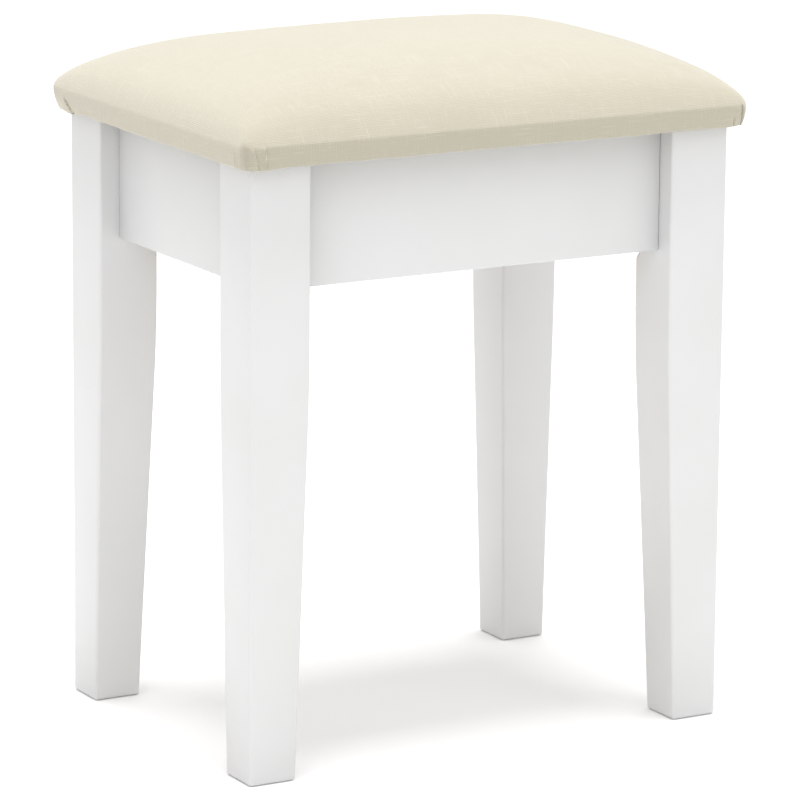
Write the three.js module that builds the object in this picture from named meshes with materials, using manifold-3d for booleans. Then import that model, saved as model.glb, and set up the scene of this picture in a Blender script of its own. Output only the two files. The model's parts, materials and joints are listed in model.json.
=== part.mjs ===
// A padded dressing stool: four tapered legs, a painted apron frame with corner blocks,
// and an upholstered seat screwed down on top of it.
//
// Millimetres, +Z up. The origin is on the floor under the middle of the seat.
// +X runs along the long side and the front faces -Y.

import * as THREE from "three";
import { mergeVertices } from "three/addons/utils/BufferGeometryUtils.js";
import Module from "manifold-3d";

const wasm = await Module();
wasm.setup();

// ---------------------------------------------------------------- driving sizes

// Frame
const SPAN_X = 346; // outer face to outer face of the legs, along the long side
const SPAN_Y = 250; // the same along the short side
const FRAME_HEIGHT = 393; // floor to the underside of the seat
const APRON_HEIGHT = 81;
const APRON_THICKNESS = 18;
const APRON_SETBACK = 14; // from a leg's outer face back to the apron's outer face
const APRON_EDGE_R = 1.5; // rounding of the apron's lower edges

// Legs: the two outer faces are upright, the two inner faces taper
const LEG_TOP = 42; // square section at the frame
const LEG_FOOT = 32.5; // square section at the floor
const BEND_BELOW_APRON = 62; // from the apron's lower edge down to where the taper starts
const BEND_LENGTH = 66; // height over which that bend is eased
const LEG_EDGE_R = 2;
const FOOT_CHAMFER = 1.2;
const CORNER_FLAT = 14; // width of the flat cut on a leg's inner corner for its bolt

// Corner blocks
const BLOCK_THICKNESS = 29; // across the block, along the corner's diagonal
const BLOCK_HEIGHT = 56;
const BLOCK_TOP_DROP = 2; // block top below the apron top
const BLOCK_PULL_GAP = 3; // between leg and block, so that the bolt pulls the joint tight

// Fixings
const DOWEL_R = 4;
const DOWEL_LENGTH = 36;
const DOWEL_STEP = 12; // height between dowels that meet in one leg
const DOWEL_CHAMFER = 1;
const BOLT_R = 4;
const BOLT_IN_LEG = 24; // length of the hanger bolt that is inside the leg
const BOLT_PAST_NUT = 4;
const WASHER_R = 9;
const WASHER_THICKNESS = 1.6;
const NUT_ACROSS_FLATS = 13;
const NUT_THICKNESS = 6.5;
const SCREW_R = 2;
const SCREW_HEAD_R = 4;
const SCREW_HEAD_HEIGHT = 2.4;
const SCREW_TIP = 4;
const SCREW_IN_APRON = 13;
const SCREW_IN_BOARD = 9;
const COUNTERBORE = 4; // shallowest depth of the pocket that takes a screw head
const SIDE_SCREW_IN = 22; // from a block's near end to its screws into the aprons
const SEAT_SCREW_OFFSET = 12; // sideways from the corner's diagonal to the seat screw

// Seat
const SEAT_OVERHANG = 10; // past the legs' outer faces, all round
const SEAT_CORNER_R = 15;
const OPENING_CORNER_R = 3; // smallest corner radius, at the folded margin's inner edge
const BOARD_THICKNESS = 12;
const CROWN_HEIGHT = 43.2; // cover's crown above the board
const CROWN_FLATNESS = 3.9; // a higher number keeps more of the top level
const CROWN_STEEPNESS = 0.5; // a lower number makes the rim rise more steeply
const COVER_THICKNESS = 1.2;
const COVER_EDGE_R = 1.5;
const COVER_TURN_UNDER = 28; // width of the margin that is folded under the board

// Clearances
const GAP = 0.3; // between pieces that rest on each other
const HOLE_CLEARANCE = 0.3; // on the radius and at the end of a hole

// ---------------------------------------------------------------- derived sizes

const APRON_BOTTOM = FRAME_HEIGHT - APRON_HEIGHT;
const FRAME_TOP = FRAME_HEIGHT - GAP;
const BEND_Z = APRON_BOTTOM - BEND_BELOW_APRON;
const JOINT_Z = (APRON_BOTTOM + FRAME_TOP) / 2;
const APRON_INNER = APRON_SETBACK + APRON_THICKNESS; // from a leg's outer face
const APRON_MIDDLE = APRON_SETBACK + APRON_THICKNESS / 2;

// Distances d along a corner's diagonal, from the leg's outer corner
const FLAT_D = (2 * LEG_TOP - CORNER_FLAT / Math.SQRT2) / Math.SQRT2;
const BLOCK_NEAR_D = FLAT_D + BLOCK_PULL_GAP;
const BLOCK_FAR_D = BLOCK_NEAR_D + BLOCK_THICKNESS;
const WASHER_D = BLOCK_FAR_D + GAP;
const NUT_D = WASHER_D + WASHER_THICKNESS + GAP;
const BOLT_START_D = FLAT_D - BOLT_IN_LEG;
const BOLT_END_D = NUT_D + NUT_THICKNESS + BOLT_PAST_NUT;
const BLOCK_TOP = FRAME_TOP - BLOCK_TOP_DROP;
const BLOCK_BOTTOM = BLOCK_TOP - BLOCK_HEIGHT;
const BLOCK_FACE = APRON_INNER + GAP; // the block's glued faces, from the leg's outer faces
const BLOCK_NEAR_END = BLOCK_NEAR_D * Math.SQRT2 - BLOCK_FACE;
const BLOCK_FAR_END = BLOCK_FAR_D * Math.SQRT2 - BLOCK_FACE;
const SIDE_SCREW_AT = BLOCK_NEAR_END + SIDE_SCREW_IN;
const SIDE_SCREW_Z = (BLOCK_BOTTOM + BLOCK_TOP) / 2;

const SEAT_HALF_X = SPAN_X / 2 + SEAT_OVERHANG;
const SEAT_HALF_Y = SPAN_Y / 2 + SEAT_OVERHANG;
const BOARD_BOTTOM = FRAME_HEIGHT + COVER_THICKNESS + GAP;
const BOARD_TOP = BOARD_BOTTOM + BOARD_THICKNESS;
const SEAT_TOP = BOARD_TOP + GAP + CROWN_HEIGHT;

// Heights, from the apron's middle, of the two dowels in an apron's first and second end.
// They differ, so that dowels from both sides pass each other and the bolt in the leg.
const DOWEL_HEIGHTS = {
  first: { lower: -2 * DOWEL_STEP, upper: DOWEL_STEP },
  second: { lower: -DOWEL_STEP, upper: 2 * DOWEL_STEP },
};

// The four quarter turns; each corner and each side is built once and turned into place
const CORNERS = [
  { name: "front_left", x: -1, y: -1 },
  { name: "front_right", x: 1, y: -1 },
  { name: "back_right", x: 1, y: 1 },
  { name: "back_left", x: -1, y: 1 },
];
const SIDES = [
  { name: "front", x: 0, y: -1, run: SPAN_X },
  { name: "right", x: 1, y: 0, run: SPAN_Y },
  { name: "back", x: 0, y: 1, run: SPAN_X },
  { name: "left", x: -1, y: 0, run: SPAN_Y },
];
const QUARTER_TURN = Math.PI / 2;
const UP = new THREE.Vector3(0, 0, 1);
const INWARD = new THREE.Vector3(1, 1, 0).normalize(); // a corner's diagonal

// ---------------------------------------------------------------- materials

const paint = new THREE.MeshStandardMaterial({ color: "#ecebe9", roughness: 0.4 });
const rawWood = new THREE.MeshStandardMaterial({ color: "#d2b083", roughness: 0.75 });
const plywood = new THREE.MeshStandardMaterial({ color: "#c7a376", roughness: 0.8 });
const foam = new THREE.MeshStandardMaterial({ color: "#efe3b4", roughness: 0.95 });
const fabric = new THREE.MeshStandardMaterial({ color: "#e6dfce", roughness: 0.9 });
const steel = new THREE.MeshStandardMaterial({ color: "#b9bbbd", roughness: 0.35, metalness: 1 });

// ---------------------------------------------------------------- helpers

/** A manifold solid from a closed three.js geometry. */
function solid(geometry) {
  const bare = geometry.clone();
  bare.deleteAttribute("normal");
  bare.deleteAttribute("uv");
  const merged = mergeVertices(bare, 1e-4);
  const kept = [];
  for (let i = 0; i < merged.index.count; i += 3) {
    const [a, b, c] = [0, 1, 2].map((k) => merged.index.getX(i + k));
    if (a !== b && b !== c && c !== a) kept.push(a, b, c);
  }
  return new wasm.Manifold(
    new wasm.Mesh({
      numProp: 3,
      vertProperties: new Float32Array(merged.attributes.position.array),
      triVerts: new Uint32Array(kept),
    }),
  );
}

/** A three.js geometry from a manifold solid. */
function geometryOf(body) {
  const mesh = body.getMesh();
  const geometry = new THREE.BufferGeometry();
  geometry.setAttribute("position", new THREE.BufferAttribute(mesh.vertProperties, 3));
  geometry.setIndex(new THREE.BufferAttribute(mesh.triVerts, 1));
  geometry.computeVertexNormals();
  return geometry;
}

/** The body with every cutter taken away from it. */
function cut(body, cutters) {
  return cutters.reduce((left, cutter) => left.subtract(cutter), body);
}

/** A named mesh from a manifold solid. */
function piece(name, body, material) {
  const mesh = new THREE.Mesh(geometryOf(body), material);
  mesh.name = name;
  return mesh;
}

/** Turns a geometry's +Y or +Z axis to a direction and moves its origin to a point. */
function aim(geometry, axis, direction, at) {
  const turn = new THREE.Quaternion().setFromUnitVectors(axis, direction);
  return geometry.applyQuaternion(turn).translate(at.x, at.y, at.z);
}

/** A round bar from a point along a direction, used for holes and pockets. */
function bar(radius, at, direction, length) {
  const geometry = new THREE.CylinderGeometry(radius, radius, length, 12);
  geometry.translate(0, length / 2, 0);
  return solid(aim(geometry, new THREE.Vector3(0, 1, 0), direction, at));
}

/** A turned piece: profile points are [radius, distance along the axis]. */
function turned(profile, at, direction) {
  const points = profile.map(([radius, along]) => new THREE.Vector2(radius, along));
  const geometry = new THREE.LatheGeometry(points, 10);
  return solid(aim(geometry, new THREE.Vector3(0, 1, 0), direction, at));
}

/** A pan-head wood screw whose head's top is at a point. */
function screw(at, direction, length) {
  const profile = [
    [0, 0],
    [SCREW_HEAD_R * 0.7, 0],
    [SCREW_HEAD_R, SCREW_HEAD_HEIGHT * 0.5],
    [SCREW_HEAD_R, SCREW_HEAD_HEIGHT],
    [SCREW_R, SCREW_HEAD_HEIGHT],
    [SCREW_R, length - SCREW_TIP],
    [0, length],
  ];
  return turned(profile, at, direction);
}

/** A flat ring or nut: an outline with a round hole, extruded along a direction. */
function ring(outline, holeRadius, thickness, at, direction) {
  outline.holes.push(new THREE.Path().absarc(0, 0, holeRadius, 0, 2 * Math.PI, true));
  const settings = { depth: thickness, bevelEnabled: false, curveSegments: 6 };
  return solid(aim(new THREE.ExtrudeGeometry(outline, settings), UP, direction, at));
}

/** A rounded rectangle centred on the origin, with points along its sides as well. */
function roundedOutline(halfX, halfY, radius, arcSteps, sideSteps) {
  const points = [];
  for (let turn = 0; turn < 4; turn += 1) {
    const alongX = turn % 2 === 0;
    const [across, along] = alongX ? [halfX, halfY] : [halfY, halfX];
    const centre = new THREE.Vector2();
    const frame = (u, v) => new THREE.Vector2(u, v).rotateAround(centre, turn * QUARTER_TURN);
    const straight = along - radius;
    for (let i = 1; i < sideSteps; i += 1) {
      points.push(frame(across, straight * ((2 * i) / sideSteps - 1)));
    }
    for (let i = 0; i <= arcSteps; i += 1) {
      const angle = (i / arcSteps) * QUARTER_TURN;
      const u = across - radius + radius * Math.cos(angle);
      points.push(frame(u, straight + radius * Math.sin(angle)));
    }
  }
  return new THREE.Shape(points);
}

/**
 * An outline extruded through levels and reshaped at each of them.
 * Every level is { z, place }, and place moves one outline point in the plane.
 */
function shapedExtrusion(outline, levels) {
  const settings = { depth: levels.length - 1, steps: levels.length - 1, bevelEnabled: false };
  const geometry = new THREE.ExtrudeGeometry(outline, settings);
  const position = geometry.attributes.position;
  for (let i = 0; i < position.count; i += 1) {
    const level = levels[Math.round(position.getZ(i))];
    const [x, y] = level.place(position.getX(i), position.getY(i));
    position.setXYZ(i, x, y, level.z);
  }
  return solid(geometry);
}

// ---------------------------------------------------------------- legs and corners

/** Side of a leg's square section at a height, with the eased bend. */
function legSide(z) {
  const slope = (LEG_TOP - LEG_FOOT) / BEND_Z;
  const t = THREE.MathUtils.clamp((z - BEND_Z) / BEND_LENGTH + 0.5, 0, 1);
  if (t === 0) return LEG_FOOT + slope * z;
  return LEG_TOP - (slope * BEND_LENGTH * (1 - t) ** 2) / 2;
}

/** The blank of a leg, with its outer corner on the Z axis and its inner faces at +X and +Y. */
function legBlank() {
  const half = LEG_TOP / 2;
  const outline = roundedOutline(half, half, LEG_EDGE_R, 3, 1);
  const bendSteps = 6;
  const heights = [FOOT_CHAMFER];
  for (let i = 0; i <= bendSteps; i += 1) {
    heights.push(BEND_Z + BEND_LENGTH * (i / bendSteps - 0.5));
  }
  heights.push(FRAME_TOP);
  const levels = heights.map((z) => {
    const scale = legSide(z) / LEG_TOP;
    return { z, place: (x, y) => [(x + half) * scale, (y + half) * scale] };
  });
  const footScale = (LEG_FOOT - 2 * FOOT_CHAMFER) / LEG_TOP;
  const foot = (v) => (v + half) * footScale + FOOT_CHAMFER;
  levels.unshift({ z: 0, place: (x, y) => [foot(x), foot(y)] });
  return shapedExtrusion(outline, levels);
}

/** The bar that cuts a leg's inner corner flat, beside the frame only. */
function cornerFlatCutter() {
  const size = LEG_TOP;
  const geometry = new THREE.BoxGeometry(size, size, FRAME_TOP);
  geometry.rotateZ(QUARTER_TURN / 2);
  const middle = (FLAT_D + size / 2) / Math.SQRT2;
  geometry.translate(middle, middle, FRAME_TOP / 2 + APRON_BOTTOM + GAP);
  return solid(geometry);
}

/** A point in a corner's own frame: d along its diagonal, at a height. */
function onDiagonal(d, z) {
  return new THREE.Vector3(d / Math.SQRT2, d / Math.SQRT2, z);
}

/**
 * Where one dowel starts and which way it runs, in a corner's own frame.
 * An apron's first end meets the leg's +X face and its second end the +Y face.
 */
function dowelInCorner(end, level) {
  const z = JOINT_Z + DOWEL_HEIGHTS[end][level];
  const start = LEG_TOP - DOWEL_LENGTH / 2;
  return end === "first"
    ? { at: new THREE.Vector3(start, APRON_MIDDLE, z), direction: new THREE.Vector3(1, 0, 0) }
    : { at: new THREE.Vector3(APRON_MIDDLE, start, z), direction: new THREE.Vector3(0, 1, 0) };
}

/** Every dowel of a corner, as { end, level, at, direction }. */
function cornerDowels() {
  return Object.keys(DOWEL_HEIGHTS).flatMap((end) =>
    Object.keys(DOWEL_HEIGHTS[end]).map((level) => ({ end, level, ...dowelInCorner(end, level) })),
  );
}

/** A leg, drilled for its dowels and its hanger bolt. */
function legSolid() {
  const dowelHoles = cornerDowels().map(({ at, direction }) => {
    const start = at.clone().addScaledVector(direction, -HOLE_CLEARANCE);
    return bar(DOWEL_R + HOLE_CLEARANCE, start, direction, DOWEL_LENGTH);
  });
  const boltStart = onDiagonal(BOLT_START_D - HOLE_CLEARANCE, JOINT_Z);
  const boltHole = bar(BOLT_R + HOLE_CLEARANCE, boltStart, INWARD, BOLT_IN_LEG * 2);
  return cut(legBlank(), [cornerFlatCutter(), boltHole, ...dowelHoles]);
}

/** A fluted dowel's plain form, chamfered at both ends. */
function dowelSolid(at, direction) {
  const profile = [
    [0, 0],
    [DOWEL_R - DOWEL_CHAMFER, 0],
    [DOWEL_R, DOWEL_CHAMFER],
    [DOWEL_R, DOWEL_LENGTH - DOWEL_CHAMFER],
    [DOWEL_R - DOWEL_CHAMFER, DOWEL_LENGTH],
    [0, DOWEL_LENGTH],
  ];
  return turned(profile, at, direction);
}

/** The hanger bolt: machine thread at the nut, wood point inside the leg. */
function boltSolid() {
  const length = BOLT_END_D - BOLT_START_D;
  const profile = [
    [0, 0],
    [BOLT_R, BOLT_R * 1.5],
    [BOLT_R, length - BOLT_R / 4],
    [BOLT_R * 0.75, length],
    [0, length],
  ];
  return turned(profile, onDiagonal(BOLT_START_D, JOINT_Z), INWARD);
}

function washerSolid() {
  const outline = new THREE.Shape().absarc(0, 0, WASHER_R, 0, 2 * Math.PI, false);
  const hole = BOLT_R + HOLE_CLEARANCE;
  return ring(outline, hole, WASHER_THICKNESS, onDiagonal(WASHER_D, JOINT_Z), INWARD);
}

function nutSolid() {
  const corner = NUT_ACROSS_FLATS / Math.sqrt(3);
  const points = Array.from({ length: 6 }, (_, i) =>
    new THREE.Vector2(corner, 0).rotateAround(new THREE.Vector2(), (i * Math.PI) / 3),
  );
  const hole = BOLT_R + HOLE_CLEARANCE;
  return ring(new THREE.Shape(points), hole, NUT_THICKNESS, onDiagonal(NUT_D, JOINT_Z), INWARD);
}

/** Head and direction of a screw from a block into an apron; end says which apron. */
function sideScrew(end) {
  const blockFace = BLOCK_FAR_D * Math.SQRT2 - SIDE_SCREW_AT; // on the screw's own line
  const head = blockFace - SCREW_HEAD_R - COUNTERBORE;
  return end === "first"
    ? { at: new THREE.Vector3(SIDE_SCREW_AT, head, SIDE_SCREW_Z), direction: new THREE.Vector3(0, -1, 0) }
    : { at: new THREE.Vector3(head, SIDE_SCREW_AT, SIDE_SCREW_Z), direction: new THREE.Vector3(-1, 0, 0) };
}

/** Length of that screw, which reaches SCREW_IN_APRON into the apron. */
function sideScrewLength() {
  return sideScrew("first").at.y - APRON_INNER + SCREW_IN_APRON;
}

/** Head position of the screw that comes up through a block into the seat board. */
function seatScrewHead() {
  const z = BLOCK_BOTTOM + COUNTERBORE - SCREW_HEAD_HEIGHT;
  const middle = onDiagonal((BLOCK_NEAR_D + BLOCK_FAR_D) / 2, z);
  const sideways = new THREE.Vector3(1, -1, 0).normalize();
  return middle.addScaledVector(sideways, SEAT_SCREW_OFFSET);
}

function seatScrewLength() {
  return BOARD_BOTTOM + SCREW_IN_BOARD - seatScrewHead().z;
}

/** The pocket for a screw's head and the clearance hole for its shank. */
function screwPassage(head, direction, length) {
  const pocketStart = head.clone().addScaledVector(direction, -BLOCK_THICKNESS);
  const pocketLength = BLOCK_THICKNESS + SCREW_HEAD_HEIGHT + GAP;
  const pocket = bar(SCREW_HEAD_R + HOLE_CLEARANCE, pocketStart, direction, pocketLength);
  return pocket.add(bar(SCREW_R + HOLE_CLEARANCE, head, direction, length));
}

/** A corner block, glued between two aprons and drilled for bolt and screws. */
function blockSolid() {
  const outline = new THREE.Shape([
    new THREE.Vector2(BLOCK_NEAR_END, BLOCK_FACE),
    new THREE.Vector2(BLOCK_FAR_END, BLOCK_FACE),
    new THREE.Vector2(BLOCK_FACE, BLOCK_FAR_END),
    new THREE.Vector2(BLOCK_FACE, BLOCK_NEAR_END),
  ]);
  const geometry = new THREE.ExtrudeGeometry(outline, { depth: BLOCK_HEIGHT, bevelEnabled: false });
  geometry.translate(0, 0, BLOCK_BOTTOM);
  const boltHole = bar(BOLT_R + HOLE_CLEARANCE, onDiagonal(FLAT_D, JOINT_Z), INWARD, 2 * BLOCK_FAR_D);
  const passages = Object.keys(DOWEL_HEIGHTS).map((end) => {
    const { at, direction } = sideScrew(end);
    return screwPassage(at, direction, sideScrewLength());
  });
  const seatPassage = screwPassage(seatScrewHead(), UP, seatScrewLength());
  return cut(solid(geometry), [boltHole, seatPassage, ...passages]);
}

/** Everything that belongs to one corner of the frame. */
function cornerGroup(corner, quarterTurns) {
  const group = new THREE.Group();
  group.position.set((corner.x * SPAN_X) / 2, (corner.y * SPAN_Y) / 2, 0);
  group.rotation.z = quarterTurns * QUARTER_TURN;
  group.add(piece(`leg_${corner.name}`, legSolid(), paint));
  group.add(piece(`corner_block_${corner.name}`, blockSolid(), rawWood));
  group.add(piece(`hanger_bolt_${corner.name}`, boltSolid(), steel));
  group.add(piece(`washer_${corner.name}`, washerSolid(), steel));
  group.add(piece(`nut_${corner.name}`, nutSolid(), steel));
  group.add(piece(`seat_screw_${corner.name}`, screw(seatScrewHead(), UP, seatScrewLength()), steel));
  for (const end of Object.keys(DOWEL_HEIGHTS)) {
    const { at, direction } = sideScrew(end);
    const name = `block_screw_${corner.name}_${end}`;
    group.add(piece(name, screw(at, direction, sideScrewLength()), steel));
  }
  for (const { end, level, at, direction } of cornerDowels()) {
    const name = `dowel_${corner.name}_${end}_${level}`;
    group.add(piece(name, dowelSolid(at, direction), rawWood));
  }
  return group;
}

// ---------------------------------------------------------------- aprons

/** An apron in its own frame: outer face at y = 0, middle of its length at x = 0. */
function apronSolid(run) {
  const half = run / 2 - LEG_TOP - GAP;
  const r = APRON_EDGE_R;
  const profile = new THREE.Shape()
    .moveTo(0, FRAME_TOP)
    .lineTo(0, APRON_BOTTOM + r)
    .absarc(r, APRON_BOTTOM + r, r, Math.PI, 1.5 * Math.PI, false)
    .absarc(APRON_THICKNESS - r, APRON_BOTTOM + r, r, 1.5 * Math.PI, 2 * Math.PI, false)
    .lineTo(APRON_THICKNESS, FRAME_TOP);
  const settings = { depth: 2 * half, bevelEnabled: false, curveSegments: 3 };
  const geometry = new THREE.ExtrudeGeometry(profile, settings);
  geometry.rotateX(QUARTER_TURN).rotateZ(QUARTER_TURN).translate(-half, 0, 0);
  const holes = [
    { end: "first", side: -1 },
    { end: "second", side: 1 },
  ].flatMap(({ end, side }) => [
    ...dowelHolesInApron(run, end, side),
    pilotHoleInApron(run, side),
  ]);
  return cut(solid(geometry), holes);
}

/** The two dowel holes in one end of an apron. */
function dowelHolesInApron(run, end, side) {
  const direction = new THREE.Vector3(-side, 0, 0);
  return Object.values(DOWEL_HEIGHTS[end]).map((height) => {
    const x = side * (run / 2 - LEG_TOP + DOWEL_LENGTH);
    const y = APRON_MIDDLE - APRON_SETBACK;
    const length = 1.5 * DOWEL_LENGTH + HOLE_CLEARANCE;
    const start = new THREE.Vector3(x, y, JOINT_Z + height);
    return bar(DOWEL_R + HOLE_CLEARANCE, start, direction, length);
  });
}

/** The pilot hole for the screw that holds a corner block to this apron. */
function pilotHoleInApron(run, side) {
  const depth = SCREW_IN_APRON + HOLE_CLEARANCE;
  const x = side * (run / 2 - SIDE_SCREW_AT);
  const start = new THREE.Vector3(x, APRON_THICKNESS - depth, SIDE_SCREW_Z);
  return bar(SCREW_R + HOLE_CLEARANCE, start, new THREE.Vector3(0, 1, 0), 2 * depth);
}

function apronGroup(side, quarterTurns) {
  const group = new THREE.Group();
  const x = side.x * (SPAN_X / 2 - APRON_SETBACK);
  const y = side.y * (SPAN_Y / 2 - APRON_SETBACK);
  group.position.set(x, y, 0);
  group.rotation.z = quarterTurns * QUARTER_TURN;
  group.add(piece(`apron_${side.name}`, apronSolid(side.run), paint));
  return group;
}

// ---------------------------------------------------------------- seat

/** The outline of the seat, drawn in by an inset. */
function seatOutline(inset) {
  const radius = Math.max(SEAT_CORNER_R - inset, OPENING_CORNER_R);
  return roundedOutline(SEAT_HALF_X - inset, SEAT_HALF_Y - inset, radius, 4, 4);
}

/**
 * The levels of the seat's crown, drawn in by an inset, from its rim upwards.
 * Its rings shrink from the seat's outline to an oval as they climb.
 */
function crownLevels(inset, rim) {
  const [halfX, halfY] = [SEAT_HALF_X - inset, SEAT_HALF_Y - inset];
  const rise = SEAT_TOP - inset - rim;
  return [1, 0.985, 0.95, 0.89, 0.8, 0.66, 0.48, 0.28, 0.1].map((size) => {
    const squareness = size ** 1.5;
    const place = (x, y) => {
      const angle = Math.atan2(y / halfY, x / halfX);
      const oval = [halfX * Math.cos(angle), halfY * Math.sin(angle)];
      return [x, y].map((v, k) => size * (v * squareness + oval[k] * (1 - squareness)));
    };
    return { z: rim + rise * (1 - size ** CROWN_FLATNESS) ** CROWN_STEEPNESS, place };
  });
}

/** A level of the seat's upright band, its outline scaled about the middle. */
function bandLevel(z, scale = 1) {
  return { z, place: (x, y) => [x * scale, y * scale] };
}

/** The foam pad, glued to the top of the board. */
function foamSolid() {
  const inset = COVER_THICKNESS + GAP;
  return shapedExtrusion(seatOutline(inset), crownLevels(inset, BOARD_TOP + GAP));
}

/** The fabric: a skin over foam and board, folded under, open in the middle below. */
function coverSolid() {
  const outer = shapedExtrusion(seatOutline(0), [
    bandLevel(FRAME_HEIGHT, 1 - COVER_EDGE_R / SEAT_HALF_Y),
    bandLevel(FRAME_HEIGHT + COVER_EDGE_R),
    ...crownLevels(0, BOARD_TOP),
  ]);
  const inner = shapedExtrusion(seatOutline(COVER_THICKNESS), [
    bandLevel(FRAME_HEIGHT + COVER_THICKNESS),
    ...crownLevels(COVER_THICKNESS, BOARD_TOP),
  ]);
  const opening = new THREE.ExtrudeGeometry(seatOutline(COVER_TURN_UNDER), {
    depth: 4 * COVER_THICKNESS,
    bevelEnabled: false,
  });
  opening.translate(0, 0, FRAME_HEIGHT - 2 * COVER_THICKNESS);
  return cut(outer, [inner, solid(opening)]);
}

/** The seat board, with a pilot hole over each corner block. */
function boardSolid() {
  const geometry = new THREE.ExtrudeGeometry(seatOutline(COVER_THICKNESS + GAP), {
    depth: BOARD_THICKNESS,
    bevelEnabled: false,
  });
  geometry.translate(0, 0, BOARD_BOTTOM);
  const depth = SCREW_IN_BOARD + HOLE_CLEARANCE;
  const holes = CORNERS.map((corner, quarterTurns) => {
    const at = seatScrewHead().applyAxisAngle(UP, quarterTurns * QUARTER_TURN);
    at.add(new THREE.Vector3((corner.x * SPAN_X) / 2, (corner.y * SPAN_Y) / 2, 0));
    at.setZ(BOARD_BOTTOM - depth);
    return bar(SCREW_R + HOLE_CLEARANCE, at, UP, 2 * depth);
  });
  return cut(solid(geometry), holes);
}

function seatGroup() {
  const group = new THREE.Group();
  group.add(piece("seat_board", boardSolid(), plywood));
  group.add(piece("foam_pad", foamSolid(), foam));
  group.add(piece("fabric_cover", coverSolid(), fabric));
  return group;
}

// ---------------------------------------------------------------- the stool

const group = new THREE.Group();
CORNERS.forEach((corner, quarterTurns) => group.add(cornerGroup(corner, quarterTurns)));
SIDES.forEach((side, quarterTurns) => group.add(apronGroup(side, quarterTurns)));
group.add(seatGroup());

export default group;
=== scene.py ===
"""A padded dressing stool: painted tapered legs and aprons under a crowned linen seat.

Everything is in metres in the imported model's own frame. The origin is on the floor under the
middle of the seat, +Z is up, +X runs along the long side and the front faces -Y.
"""

from __future__ import annotations

import json
import logging
import math
from contextlib import contextmanager
from dataclasses import asdict, dataclass, field
from enum import Enum
from typing import Any, Callable, Iterator, Sequence

import bmesh
import bpy
import numpy as np
from mathutils import Matrix, Vector, noise

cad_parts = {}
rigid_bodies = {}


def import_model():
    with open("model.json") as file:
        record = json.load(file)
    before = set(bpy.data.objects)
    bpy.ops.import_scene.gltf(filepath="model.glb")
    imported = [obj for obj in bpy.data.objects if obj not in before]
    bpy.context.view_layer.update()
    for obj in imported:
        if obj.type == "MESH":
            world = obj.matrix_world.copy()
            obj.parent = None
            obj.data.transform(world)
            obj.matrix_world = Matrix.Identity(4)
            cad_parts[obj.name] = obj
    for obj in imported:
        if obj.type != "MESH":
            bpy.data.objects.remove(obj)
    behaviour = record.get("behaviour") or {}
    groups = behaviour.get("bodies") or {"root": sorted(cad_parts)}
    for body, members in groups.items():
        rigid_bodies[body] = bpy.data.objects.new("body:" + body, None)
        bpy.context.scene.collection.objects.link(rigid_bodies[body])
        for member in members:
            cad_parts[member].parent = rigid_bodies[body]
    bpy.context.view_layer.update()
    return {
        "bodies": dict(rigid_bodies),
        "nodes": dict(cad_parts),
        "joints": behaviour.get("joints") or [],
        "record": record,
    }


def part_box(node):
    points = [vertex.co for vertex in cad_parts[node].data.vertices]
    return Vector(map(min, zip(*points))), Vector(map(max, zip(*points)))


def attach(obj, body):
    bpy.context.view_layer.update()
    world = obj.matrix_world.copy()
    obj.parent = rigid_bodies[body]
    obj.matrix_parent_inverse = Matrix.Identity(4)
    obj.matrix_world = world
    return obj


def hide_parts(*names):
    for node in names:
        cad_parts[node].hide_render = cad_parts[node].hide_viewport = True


LOG = logging.getLogger("dressing_stool")
MM = 0.001
BODY = "root"
CORNERS = ("front_left", "front_right", "back_right", "back_left")
SIDES = ("front", "right", "back", "left")
ENDS = ("first", "second")
LEVELS = ("lower", "upper")
DOWELS = {
    (corner, end): [f"dowel_{corner}_{end}_{level}" for level in LEVELS]
    for corner in CORNERS
    for end in ENDS
}
QUARTER_TURN = math.pi / 2
# How far from a plane a point may be and still count as on it.
NEAR = 0.1 * MM
# How much wider a drilled hole is than what goes in it, on each side.
HOLE_CLEARANCE = 0.3 * MM
# How far a cutter sticks out of what it cuts.
PAST = 4 * MM
# Keeps a division by a length that may be zero in range.
TINY = 1e-9
ORIGIN = Vector((0, 0, 0))
UP = Vector((0, 0, 1))


# ------------------------------------------------------------------ colours and nodes


def srgb(code: str) -> tuple[float, float, float, float]:
    """Turns an sRGB hex colour into the linear colour that shaders take.

    Args:
        code: A colour such as "#E6E0CF".

    Returns:
        Linear red, green, blue and an alpha of 1.
    """
    levels = [int(code[i : i + 2], 16) / 255 for i in (1, 3, 5)]
    linear = [v / 12.92 if v <= 0.04045 else ((v + 0.055) / 1.055) ** 2.4 for v in levels]
    return (*linear, 1.0)


def add_node(
    tree: bpy.types.NodeTree, kind: str, inputs: dict[Any, Any] | None = None, **settings: Any
) -> bpy.types.Node:
    """Adds one node with its settings, values and links.

    Args:
        tree: The node tree that gets the node.
        kind: The node's type name, without its "ShaderNode".
        inputs: For each input socket, by name or number, a value or an output to link.
        **settings: Properties of the node itself.

    Returns:
        The new node.
    """
    made = tree.nodes.new(f"ShaderNode{kind}")
    for name, value in settings.items():
        setattr(made, name, value)
    connect(tree, made, inputs or {})
    return made


def connect(tree: bpy.types.NodeTree, node: bpy.types.Node, inputs: dict[Any, Any]) -> None:
    """Gives a node's input sockets their values and links.

    Args:
        tree: The node's tree.
        node: The node.
        inputs: For each input socket, by name or number, a value or an output to link.
    """
    for socket, value in inputs.items():
        if isinstance(value, bpy.types.NodeSocket):
            tree.links.new(value, node.inputs[socket])
        else:
            node.inputs[socket].default_value = value


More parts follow.
